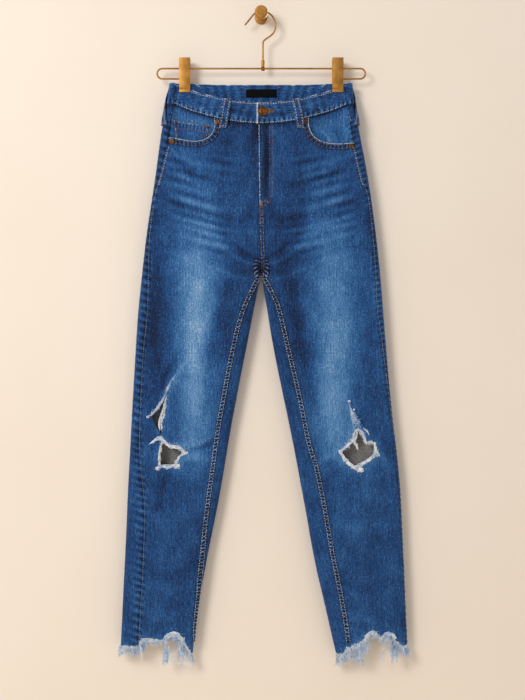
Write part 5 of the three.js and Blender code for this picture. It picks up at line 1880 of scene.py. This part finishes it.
# Rims, flaps and tongues of the tears: (colour, strands, radius, route of (x, z, lift, spread)).
FRAYED_ROUTES = {
    "knee_fray_right": [
        # the folded flap, its knot and the rolled edge across the slit
        ("white", 16, 0.28, [(-166, -662, 1.4, 0.6), (-172, -676, 1.8, 1.4), (-181, -690, 2, 2.0)]
         + [(-191, -700, 2, 2.4), (-200, -705, 1.4, 1.8)]),
        ("blue", 14, 0.3, [(-167, -664, 1.4, 0.8), (-176, -683, 2.2, 1.8), (-190, -700, 2.2, 2.6)]),
        ("white", 7, 0.3, [(-158, -648, 0.8, 0.8), (-163, -656, 1.2, 1.3), (-167, -666, 1.2, 1.2)]),
        ("blue", 5, 0.3, [(-165, -658, 0.5, 0.8), (-158, -643, 0.5, 0.9), (-147, -630, 0.4, 0.8)]),
        ("white", 11, 0.34, [(-168.5, -676, 0.8, 0.5), (-171, -690, 1, 0.6), (-173, -700, 1.2, 1.3)]
         + [(-177, -709, 1.2, 0.9), (-178, -719, 1.2, 1.2), (-176, -729, 1, 0.6), (-175, -737, 1, 0.8)]),
        # the bridge and the upper rim of the lower tear, out to its corner knot
        ("white", 38, 0.36, [(-197, -753, 0.5, 0.5), (-188, -747, 1, 0.9), (-178, -741, 1.4, 2.2)]
         + [(-170, -747, 1.4, 1.8), (-163, -753, 1.2, 1.4), (-155, -757, 1.2, 1.8), (-146, -757, 1.2, 2.2)]
         + [(-139, -761, 1.2, 2.4), (-131, -768, 1.2, 2.4)]),
        ("white", 20, 0.34, [(-131, -768, 1, 2.4), (-140, -771, 1, 1.1), (-145, -777, 1, 1.3)]
         + [(-149, -784, 1.2, 2.6), (-146, -791, 1.4, 4.2)]),
        ("white", 24, 0.34, [(-145, -791, 1.4, 4.2), (-155, -790, 1, 1.5), (-163, -792, 1, 2.0)]
         + [(-171, -790, 1, 1.4), (-178, -792, 1, 2.4), (-184, -797, 0.8, 1.8)]),
        ("white", 9, 0.3, [(-179, -793, 0.8, 1.2), (-178.5, -780, 0.6, 0.6), (-178, -768, 0.6, 0.5)]
         + [(-176, -757, 0.6, 0.5), (-172, -750, 0.8, 1.0)]),
    ],
    "knee_fray_left": [
        # the worn corner above the tear
        ("blue", 34, 0.34, [(155, -690, 0.3, 0.8), (160, -702, 0.4, 2.8), (166, -714, 0.4, 4.6)]
         + [(170, -724, 0.4, 5.4)]),
        ("white", 16, 0.24, [(156, -692, 0.5, 0.8), (161, -704, 0.6, 2.6), (168, -720, 0.6, 4.6)]),
        ("white", 5, 0.26, [(152, -676, 0.4, 0.5), (156, -690, 0.6, 0.6), (166, -710, 0.6, 3.0)]),
        # tongues into the tear
        ("white", 14, 0.32, [(172, -726, 1, 2.2), (176, -731, 1, 1.1), (180, -739, 0.8, 0.6)]),
        ("white", 7, 0.3, [(178, -726, 1, 1.8), (186, -731, 1, 1.4), (188, -738, 0.8, 0.8)]),
        ("white", 15, 0.32, [(158, -743, 1, 2.2), (164, -752, 0.8, 1.8), (167, -758, 0.6, 1.1)]
         + [(168.5, -764, 0.4, 0.4)]),
        ("white", 8, 0.3, [(150, -753, 1, 1.4), (153, -757, 0.8, 1.0), (154, -762, 0.6, 0.5)]),
        # the rim, from the left corner over the top, and the flap's white edge
        ("white", 30, 0.32, [(133, -765, 1, 0.9), (141, -761, 1, 1.0), (148, -757, 1.2, 1.8)]
         + [(153, -752, 1.2, 1.8), (159, -747, 1.2, 2.4), (165, -741, 1, 1.8), (167, -733, 0.8, 0.8)]
         + [(165, -727, 0.8, 0.7)]),
        ("blue", 14, 0.3, [(146, -753, 0.6, 1.6), (155, -745, 0.6, 2.4), (162, -738, 0.6, 2.2)]),
        ("white", 10, 0.34, [(178, -735, 0.8, 0.7), (181, -743, 0.8, 0.8), (183, -750, 0.8, 0.9)]
         + [(189, -747, 0.8, 0.8), (198, -747, 0.8, 0.7)]),
        ("white", 10, 0.32, [(198, -745, 0.8, 0.4), (200, -757, 0.8, 0.6), (202, -766, 1, 2.4)]
         + [(203, -776, 1, 2.6)]),
        # the fuzzy lower rim and its hanging knot
        ("white", 30, 0.36, [(135, -766, 1, 1.2), (141, -771, 1, 1.4), (146, -779, 1, 2.4)]
         + [(154, -787, 1, 1.8), (163, -793, 1.2, 2.6), (171, -795, 1.4, 4.2)]),
        ("white", 34, 0.36, [(164, -795, 1.2, 2.2), (172, -790, 1.4, 3.2), (180, -784, 1.2, 1.8)]
         + [(189, -779, 1.2, 2.0), (197, -772, 1.2, 2.6), (203, -763, 1.2, 3.2)]),
    ],
    "hem_fray_right": [
        # the thick curl over a small hole, and the long wavy thread out of it
        ("white", 64, 0.36, [(-171, -1098, 1, 1.4), (-166, -1089, 1.4, 2.2), (-158, -1084, 1.6, 2.6)]
         + [(-149, -1084, 1.6, 2.8), (-143, -1091, 1.6, 2.8), (-138, -1097, 1.4, 3.2)]
         + [(-137, -1108, 1.2, 2.4)]),
        ("white", 5, 0.32, [(-153, -1104, 1.4, 0.8), (-150, -1114, 1.6, 0.8), (-157, -1124, 1.8, 0.8)]
         + [(-155, -1131, 1.8, 0.8), (-136, -1138, 1.6, 0.8), (-130, -1150, 1.6, 0.8)]
         + [(-125, -1166, 1.4, 1.0)]),
        ("white", 16, 0.32, [(-214, -1092, 1, 1.6), (-200, -1094, 1.2, 2.6), (-186, -1095, 1.2, 2.4)]
         + [(-172, -1096, 1, 1.6)]),
    ],
    "hem_fray_left": [
        ("white", 44, 0.36, [(182, -1096, 1.2, 1.6), (186, -1086, 1.6, 2.4), (194, -1081, 1.6, 2.4)]
         + [(202, -1085, 1.6, 2.4), (205, -1092, 1.4, 1.8)]),
        ("white", 44, 0.36, [(208, -1096, 1.2, 2.2), (213, -1087, 1.6, 2.4), (222, -1083, 1.6, 2.4)]
         + [(231, -1087, 1.6, 2.4), (234, -1096, 1.4, 2.0)]),
        ("white", 12, 0.32, [(215, -1107, 1.2, 1.6), (212, -1120, 1.4, 1.4), (203, -1138, 1.4, 0.8)]),
        ("white", 16, 0.32, [(238, -1104, 1.2, 2.0), (248, -1106, 1.2, 2.4), (258, -1114, 1.2, 1.4)]
         + [(262, -1134, 1, 0.6)]),
        ("white", 16, 0.32, [(147, -1108, 1.2, 2.2), (153, -1116, 1.2, 3.0), (152, -1128, 1, 2.0)]),
    ],
}
# Knots of loose ends: (x, z, reach, strands).
KNOTS = {
    "knee_fray_right": [
        (-131, -768, 3.6, 7), (-146, -790, 5, 10), (-182, -794, 3.4, 6), (-198, -705, 2.4, 4),
        (-166, -792, 3, 4), (-151, -757, 2.8, 4), (-188, -748, 3, 4), (-172, -706, 2.2, 3),
    ],
    "knee_fray_left": [
        (153, -677, 2.4, 5), (161.5, -692, 2.4, 5), (173, -797, 5.5, 12), (203, -770, 4, 7),
        (137, -764, 2.6, 4), (146, -780, 3, 5), (159, -792, 3.2, 5), (187, -782, 3.2, 5),
        (150, -756, 3, 4),
    ],
    "hem_fray_right": [
        (-140, -1094, 3.6, 7), (-152, -1085, 3.4, 6),
    ],
    "hem_fray_left": [
        (192, -1083, 3.4, 5), (224, -1086, 3.4, 5), (208, -1092, 3, 4),
    ],
}
# Bunches that hang from the hems: (x, z, length, lean, colour, strands, spread).
BUNCHES = {
    "hem_fray_right": [
        (-209, -1106, 24, 1, "white", 7, 2), (-164, -1104, 36, -3, "blue", 34, 5),
        (-136, -1106, 30, 5, "white", 18, 8), (-122, -1118, 26, 5, "white", 22, 6),
        (-140, -1104, 30, 2, "blue", 14, 7), (-240, -1104, 22, -10, "blue", 22, 6),
        (-236, -1104, 20, -8, "white", 18, 8), (-218, -1104, 20, -2, "blue", 12, 6),
        (-206, -1096, 22, 0, "blue", 10, 3),
    ],
    "hem_fray_left": [
        (136, -1118, 26, -4, "white", 22, 6), (152, -1106, 24, 0, "white", 14, 4),
        (169, -1100, 40, 1, "blue", 34, 8), (166, -1100, 30, 2, "white", 12, 7),
        (231, -1100, 40, 2, "white", 26, 8), (232, -1100, 34, 0, "blue", 18, 8),
        (184, -1096, 26, -3, "white", 7, 3), (250, -1106, 20, 6, "white", 10, 4),
        (132, -1120, 20, -8, "blue", 14, 6),
    ],
}


def make_hand_laid_strands():
    rng = np.random.default_rng(54)
    for name, routes in FRAYED_ROUTES.items():
        half = RIGHT if name.endswith("right") else LEFT
        for kind, count, radius, route in routes:
            frayed_along(name, half, route, count, radius, rng, kind)
        for x, z, reach, count in KNOTS[name]:
            scribble(name, half, x, z, reach, count, rng)
        for x, z, length, lean, kind, count, spread in BUNCHES.get(name, []):
            hanging(name, half, x, z, length, lean, rng, kind, 0.3, count, spread)


def make_knee_flap():
    """The corner of cloth beside the right knee's upper tear, folded back so that its white side shows."""
    path = on_front(RIGHT, flowing([(-165, -659), (-172, -676), (-183, -693), (-195, -704)], 1.5))
    mesh = ribbon(
        "flap", RIGHT, path, [-2.4, -1.9, -1.0, 0, 1.0, 1.9, 2.4], DENIM / 2 + GAP + 0.5, 0.9,
        crown=0.7, rope=(4.0, 0.3, 2.0), tone=0.22, bare=0.16, rope_bare=0.3,
    )
    piece = sewn("knee_flap", mesh)


def lean_on_wall(mesh):
    """Threads that would pass through the wall behind the hems lie pressed against it."""
    places = np.empty(3 * len(mesh.vertices))
    mesh.vertices.foreach_get("co", places)
    places[1::3] -= 0.85 * np.maximum(places[1::3] + 1.2 * MM, 0)
    mesh.vertices.foreach_set("co", places)


make_knee_flap()
make_knees()
make_hems()
make_hand_laid_strands()

white_strands = wire_tree("loose_strand", frayed_cotton, 4)
blue_strands = wire_tree("loose_blue_strand", blue_ends, 4)
for (name, kind, radius), lines in strand_sets.items():
    tree = blue_strands if kind == "blue" else white_strands
    made = grown(lines_mesh(name, lines), tree, name, Radius=radius * MM)
    fringe_sets.setdefault(name + ("_blue" if kind == "blue" else ""), []).append(made.data)

for name, meshes in fringe_sets.items():
    for part in [o for o in bpy.context.scene.objects if o.type == "MESH" and o.data in meshes]:
        bpy.data.objects.remove(part)
    mesh = join_meshes(name, meshes)
    mesh.materials.clear()
    mesh.materials.append(blue_ends if name.endswith("blue") else frayed_cotton)
    mesh.polygons.foreach_set("material_index", [0] * len(mesh.polygons))
    lean_on_wall(mesh)
    node = {"hem_fray_right": ["fray_right"], "hem_fray_left": ["fray_left"]}.get(name, [])
    belongs(new_object(name, mesh), "thread", *node)


# ---------------------------------------------------------------- hanger, clips, peg, studs


def turned(name, profile, foot, axis, material, slot, sides=48):
    """A lathe-turned part: (radius, height) about an axis that stands on a point."""
    profile = np.array(profile, float)
    angle = np.linspace(0, 2 * np.pi, sides, endpoint=False)
    axis = Vector(axis).normalized()
    turn = np.array(Vector((0, 0, 1)).rotation_difference(axis).to_matrix())
    rings = [
        np.stack([r * np.cos(angle), r * np.sin(angle), np.full(sides, h)], axis=1)
        for r, h in profile[1:-1]
    ]
    points = np.vstack([[[0, 0, profile[0, 1]]], *rings, [[0, 0, profile[-1, 1]]]])
    points = points @ turn.T + np.array(foot)
    last = len(points) - 1
    faces = []
    for k in range(sides):
        after = (k + 1) % sides
        faces.append([0, 1 + after, 1 + k])
        for ring in range(len(rings) - 1):
            low, high = 1 + ring * sides, 1 + (ring + 1) * sides
            faces.append([low + k, low + after, high + after, high + k])
        top = 1 + (len(rings) - 1) * sides
        faces.append([top + k, top + after, last])
    mesh = bpy.data.meshes.new(name)
    mesh.from_pydata((points * MM).tolist(), [], faces)
    mesh.materials.append(material)
    return smooth_by_angle(mesh, 32)


def smooth_by_angle(mesh, degrees):
    """Smooth shading, but for edges sharper than the angle."""
    shaped = bmesh.new()
    shaped.from_mesh(mesh)
    for face in shaped.faces:
        face.smooth = True
    for edge in shaped.edges:
        edge.smooth = not edge.is_manifold or edge.calc_face_angle(0) < math.radians(degrees)
    shaped.to_mesh(mesh)
    shaped.free()
    return mesh


def fillet(profile, radius=0.35):
    """A lathe profile with each corner cut twice, which rounds it."""
    p = np.array(profile, float)
    made = [p[0]]
    for before, corner, after in zip(p[:-2], p[1:-1], p[2:]):
        to_before, to_after = before - corner, after - corner
        a = corner + to_before * min(0.45, radius / np.linalg.norm(to_before))
        b = corner + to_after * min(0.45, radius / np.linalg.norm(to_after))
        made += [a, 0.25 * a + 0.5 * corner + 0.25 * b, b]
    return [*made, p[-1]]


BUTTON_Z = -173.4
BUTTON_PROFILE = [
    (0, 0), (3.2, 0), (3.2, 1.2), (7.6, 1.6), (8.5, 2.4), (8.5, 3.2), (7.9, 4.3), (6.9, 4.4), (6.3, 3.5),
    (5.6, 3.4), (5.2, 3.9), (3.0, 4.2), (2.0, 3.6), (0, 3.5),
]
RIVET_PROFILE = [(0, 0), (4.4, 0), (4.5, 0.5), (3.8, 1.1), (2.6, 1.15), (2.1, 0.9), (1.5, 1.5), (0, 1.6)]
COIN_RIVET_PROFILE = [(0, 0), (2, 0), (2, 0.5), (1.4, 0.9), (0, 1)]


def stud(name, node, profile, half, X, z, off, sides):
    w = front_w(half, np.array([float(X)]), np.array([float(z)]))
    z = np.array([float(z)])
    foot = skin(half, w, z, np.array([float(off)]), np.zeros(1))[0]
    mesh = turned(name, fillet(profile, 0.3), foot, outward(half, w, z)[0], copper, "copper", sides)
    belongs(new_object(name, mesh), "copper", node)


def make_studs():
    stud("shank_button", "waist_button", BUTTON_PROFILE, LEFT, 2.3, BUTTON_Z, BAND / 2 + GAP, 48)
    on_denim = DENIM / 2 + 2 * GAP + 0.6
    for side, half, which, X, z in (
        ("right", RIGHT, "inner", 76.6, -191), ("right", RIGHT, "outer", 156, -225),
        ("left", LEFT, "inner", 77.4, -190.5), ("left", LEFT, "outer", 156.5, -233.5),
    ):
        name, node = f"pocket_rivet_{side}_{which}", f"rivet_{side}_{which}"
        stud(name, node, RIVET_PROFILE, half, X, z, on_denim, 24)
    for which, X, z in (("outer", 148.5, -190.5), ("inner", 95, -198.5)):
        off = float(sunk(RIGHT, X, z)) + DENIM / 2 + COIN["wall"] + 11 * GAP - 0.5
        stud(f"watch_rivet_{which}", f"coin_rivet_{which}", COIN_RIVET_PROFILE, RIGHT, X, z, off, 16)


def make_buttonhole():
    """A bar of stitches round a slot, tapering away from the button."""
    rows = []
    for t in np.arange(26) / 25:
        X = 9.5 + 13 * t
        tall = mix(4.2, 0.8, t**1.4)
        middle = BUTTON_Z + 0.6
        line = straight(X, middle - tall, X, middle + tall, 1.0)
        rows.append(row_of_stitches(LEFT, *line.T, BAND / 2 + 0.35))
    tree = stitch_tree("buttonhole_stitches", rust_thread)
    sizes = {"Pitch": 1.6 * MM, "Length": 1.8 * MM, "Width": 0.7 * MM, "Height": 0.7 * MM}
    belongs(sewn_rows(rows, tree, "worked_buttonhole", **sizes), "thread")


make_studs()
make_buttonhole()


def arc(x, z, radius, start, end, step=3.0):
    """Points on an arc in the hanger's plane, between two angles in degrees."""
    step = step if end > start else -step
    angle = np.radians(np.arange(start, end + step / 2, step))
    y = np.full(angle.shape, HANG_Y)
    return np.stack([x + radius * np.cos(angle), y, z + radius * np.sin(angle)], axis=1)


def bezier(p, q, r, s, count=16):
    t = np.linspace(0, 1, count)[:, None]
    p, q, r, s = (np.array([x, HANG_Y, z]) for x, z in (p, q, r, s))
    return p * (1 - t) ** 3 + 3 * q * t * (1 - t) ** 2 + 3 * r * t * t * (1 - t) + s * t**3


hanger_wire = wire_tree("drawn_brass_wire", brass, 20)


def drawn(name, node, line, radius):
    kept = [line[0]]
    for point in line[1:]:
        if np.linalg.norm(point - kept[-1]) > 0.05:
            kept.append(point)
    piece = grown(lines_mesh(name, [np.array(kept)]), hanger_wire, name, Radius=radius * MM)
    smooth_by_angle(piece.data, 50)
    return belongs(piece, "brass", node)


def make_hanger():
    lower = BAR_Z - 2 * LOOP_RADIUS
    loop_x = HANGER_HALF - LOOP_RADIUS
    wire_end = CLIP_X - CLIP_WIDTH / 2 + 3
    bar = np.vstack([
        [[-wire_end, HANG_Y, lower]],
        arc(-loop_x, BAR_Z - LOOP_RADIUS, LOOP_RADIUS, 270, 90, 6),
        [[0, HANG_Y, BAR_Z]],
        arc(loop_x, BAR_Z - LOOP_RADIUS, LOOP_RADIUS, 90, -90, 6),
        [[wire_end, HANG_Y, lower]],
    ])
    drawn("hanger_bar_wire", "hanger_bar", bar, WIRE_RADIUS)
    hook_z = PEG_NECK_RADIUS + GAP + WIRE_RADIUS - HOOK_RADIUS
    flare = math.radians(104.4)
    flare_from = (HOOK_RADIUS * math.cos(flare), hook_z + HOOK_RADIUS * math.sin(flare))
    hook = np.vstack([
        [[STEM_X, HANG_Y, -80 + GAP]],
        bezier((STEM_X, -50), (STEM_X, -40), (HOOK_RADIUS, -40), (HOOK_RADIUS, hook_z)),
        arc(0, hook_z, HOOK_RADIUS, 0, 104.4, 4),
        bezier(flare_from, (-13, 3.5), (-18, -6), (-28.5, -18)),
    ])
    drawn("hanger_hook_wire", "hanger_hook", hook, WIRE_RADIUS)
    ferrule_foot = BAR_Z + WIRE_RADIUS + GAP
    tall = -80 - ferrule_foot
    up = (0, 0, 1)
    profile = [
        (0, 0), (3.2, 0), (3.2, 1.2), (2.9, 1.6), (2.9, tall - 2.4), (3.2, tall - 2), (3.1, tall - 1),
        (2.2, tall), (0, tall),
    ]
    mesh = turned("ferrule", fillet(profile), (STEM_X, HANG_Y, ferrule_foot), up, brass, "brass")
    belongs(new_object("hook_ferrule", mesh), "brass", "hanger_ferrule")
    profile = [(0, 0), (2.2, 0), (3.4, 0.8), (3.4, 2), (0, 2)]
    foot = (STEM_X, HANG_Y, BAR_Z - WIRE_RADIUS - GAP - 2)
    mesh = turned("swivel", fillet(profile), foot, up, brass, "brass", 32)
    belongs(new_object("swivel_head", mesh), "brass", "swivel_rivet")


PLATE = 1.6
JAW_FACE = PINCHED + BAND / 2 + 2 * GAP
SPRING_RADIUS = 5.5


def clip_plate(name, node, x, facing):
    """A pressed plate: bent from the grip to the jaw, its edges eased."""
    clear = SPRING_RADIUS + GAP
    inner = [
        (clear + 1.5, CLIP_TOP_Z), (clear, -98), (clear, -112), (JAW_FACE + 1.2, -129),
        (JAW_FACE, CLIP_END_Z + 5), (JAW_FACE, CLIP_END_Z),
    ]
    inner = flowing(inner, 1.6)
    inner[:, 0] = np.maximum(inner[:, 0], JAW_FACE)
    outline = np.vstack([inner, (inner + (PLATE, 0))[::-1]])
    count = len(outline)
    shaped = bmesh.new()
    ends = []
    for side in (-CLIP_WIDTH / 2, CLIP_WIDTH / 2):
        places = [((x + side) * MM, (HANG_Y + facing * y) * MM, z * MM) for y, z in outline]
        ends.append([shaped.verts.new(place) for place in places])
    for k in range(count):
        after = (k + 1) % count
        shaped.faces.new([ends[0][k], ends[0][after], ends[1][after], ends[1][k]])
    middle = count // 2
    for end in ends:
        for k in range(middle - 1):
            shaped.faces.new([end[k], end[k + 1], end[count - 2 - k], end[count - 1 - k]])
    bmesh.ops.recalc_face_normals(shaped, faces=shaped.faces)
    corners = [e for e in shaped.edges if e.calc_face_angle(0) > math.radians(40)]
    bmesh.ops.bevel(shaped, geom=corners, offset=0.4 * MM, segments=3, profile=0.5, affect="EDGES")
    mesh = bpy.data.meshes.new(name)
    shaped.to_mesh(mesh)
    shaped.free()
    mesh.materials.append(brass)
    smooth_by_angle(mesh, 32)
    belongs(new_object(name, mesh), "brass", node)


def make_clips():
    for half in HALVES:
        x = half.sign * CLIP_X
        for side, facing in (("front", -1), ("back", 1)):
            clip_plate(f"clip_plate_{half.name}_{side}", f"clip_{half.name}_{side}", x, facing)
        turns, wire = 7, 0.8
        angle = np.linspace(0, 2 * np.pi * turns, turns * 18)
        radius = SPRING_RADIUS - wire
        xs = x + np.linspace(-5.2, 5.2, len(angle))
        middle = BAR_Z - LOOP_RADIUS
        coil = np.stack([xs, HANG_Y + radius * np.cos(angle), middle + radius * np.sin(angle)], axis=1)
        piece = grown(lines_mesh("coil", [coil]), wire_tree("spring_wire", brass, 8),
                      f"coil_spring_{half.name}", Radius=wire * MM)
        belongs(piece, "brass", f"clip_{half.name}_spring")


def make_peg():
    n = PEG_NECK_RADIUS
    profile = [
        (0, 0), (11.4, 0), (11.6, 0.6), (11.6, 3.0), (10.9, 4.0), (7.5, 4.3),
        (n + 0.3, 4.7), (n, 5.6), (n, 26), (n + 1.4, 27.2), (9.8, 27.8), (11.0, 28.8), (11.3, 30.2),
        (11.3, PEG_LENGTH - 2.2), (10.9, PEG_LENGTH - 0.8), (9.8, PEG_LENGTH - 0.1), (7, PEG_LENGTH),
        (0, PEG_LENGTH),
    ]
    mesh = turned("peg", fillet(profile, 0.5), (0, 0, 0), (0, -1, 0), brass, "brass", 72)
    belongs(new_object("turned_peg", mesh), "brass", "wall_peg")


def make_zip():
    """Teeth along the hidden tape, and the slider in the same brass."""
    z = np.arange(-213.0, -321.0, -2.6)
    rows = []
    for side in (-1, 1):
        w = np.full(len(z), 1.0 + side * 1.3)
        points = skin(LEFT, w, z + side * 0.65, np.full(len(z), -3.3))
        rows.append((points, outward(LEFT, w, z)))
    sizes = {"Pitch": 2.6 * MM, "Length": 1.3 * MM, "Width": 3.4 * MM, "Height": 1.6 * MM}
    belongs(sewn_rows(rows, stitch_tree("zip_teeth", brass), "zip_teeth", **sizes), "brass", "zip_chain")
    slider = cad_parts["zip_slider"]
    slider.data.materials.clear()
    slider.data.materials.append(brass)


make_hanger()
make_clips()
make_peg()
make_zip()


# ---------------------------------------------------------------- wall, floor, light, camera


def painted_plaster(name, colour, see_through_behind):
    """Matte emulsion on plaster, with a faint mottle. The wall is clear from behind, so the back shows."""
    made, tree, surface = new_material(name, Roughness=0.92)
    surface.inputs["Specular IOR Level"].default_value = 0.15
    where = add(tree, "ShaderNodeTexCoord").outputs["Object"]
    noise = add(tree, "ShaderNodeTexNoise", None, {"Vector": where, "Scale": 3.0, "Detail": 4.0})
    light, dark = colour
    tree.links.new(ramp(tree, noise.outputs[0], [(0.3, dark), (0.7, light)]), surface.inputs["Base Color"])
    if see_through_behind:
        clear = add(tree, "ShaderNodeBsdfTransparent")
        behind = add(tree, "ShaderNodeNewGeometry").outputs["Backfacing"]
        both = add(tree, "ShaderNodeMixShader", None,
                   {0: behind, 1: surface.outputs[0], 2: clear.outputs[0]})
        output = next(n for n in tree.nodes if n.type == "OUTPUT_MATERIAL")
        tree.links.new(both.outputs[0], output.inputs["Surface"])
    return made


WALL_HALF_WIDTH, WALL_TOP, FLOOR_Z, FLOOR_DEPTH = 2.6, 1.2, -1.42, 3.4


def make_stage():
    wall = mesh_from(
        "wall",
        [(-WALL_HALF_WIDTH, 0.0006, FLOOR_Z), (WALL_HALF_WIDTH, 0.0006, FLOOR_Z),
         (WALL_HALF_WIDTH, 0.0006, WALL_TOP), (-WALL_HALF_WIDTH, 0.0006, WALL_TOP)],
        [(0, 1, 2, 3)],
    )
    wall.materials.append(painted_plaster("cream_wall_paint", ("#f1e9e0", "#eee5da"), True))
    floor = mesh_from(
        "floor",
        [(-WALL_HALF_WIDTH, -FLOOR_DEPTH, FLOOR_Z), (WALL_HALF_WIDTH, -FLOOR_DEPTH, FLOOR_Z),
         (WALL_HALF_WIDTH, 1.4, FLOOR_Z), (-WALL_HALF_WIDTH, 1.4, FLOOR_Z)],
        [(0, 1, 2, 3)],
    )
    floor.materials.append(painted_plaster("pale_floor_paint", ("#e8dccd", "#e4d7c6"), False))
    new_object("wall", wall)
    new_object("floor", floor)


def area_light(name, place, aim, size, watts, colour):
    light = bpy.data.lights.new(name, "AREA")
    light.shape = "DISK"
    light.size = size
    light.energy = watts
    light.color = linear(colour)[:3]
    lamp = bpy.data.objects.new(name, light)
    lamp.location = place
    lamp.rotation_euler = (Vector(aim) - Vector(place)).to_track_quat("-Z", "Y").to_euler()
    bpy.context.scene.collection.objects.link(lamp)
    return lamp


def make_light():
    area_light("window", (-1.5, -2.3, 0.55), (0, 0, -0.55), 1.1, 43, "#fffbf5")
    behind = area_light("behind", (1.2, 2.4, 0.4), (0, 0, -0.6), 1.6, 48, "#fffaf4")
    let_through = bpy.data.collections.new("walls_that_let_the_back_light_through")
    let_through.objects.link(bpy.data.objects["wall"])
    behind.light_linking.blocker_collection = let_through
    let_through.collection_objects[0].light_linking.link_state = "EXCLUDE"
    world = bpy.data.worlds.new("room")
    bpy.context.scene.world = world
    world.use_nodes = True
    sky = world.node_tree.nodes["Background"]
    sky.inputs["Color"].default_value = linear("#fffaf3")
    sky.inputs["Strength"].default_value = 0.56


def make_camera():
    camera = bpy.data.cameras.new("camera")
    camera.sensor_width = 36
    camera.lens = 58.8
    made = bpy.data.objects.new("camera", camera)
    made.location = (0.0021, -2.025, -0.588)
    made.rotation_euler = (math.pi / 2, 0, 0)
    bpy.context.scene.collection.objects.link(made)
    bpy.context.scene.camera = made


make_stage()
make_light()
make_camera()
bpy.context.scene.view_settings.view_transform = "Standard"
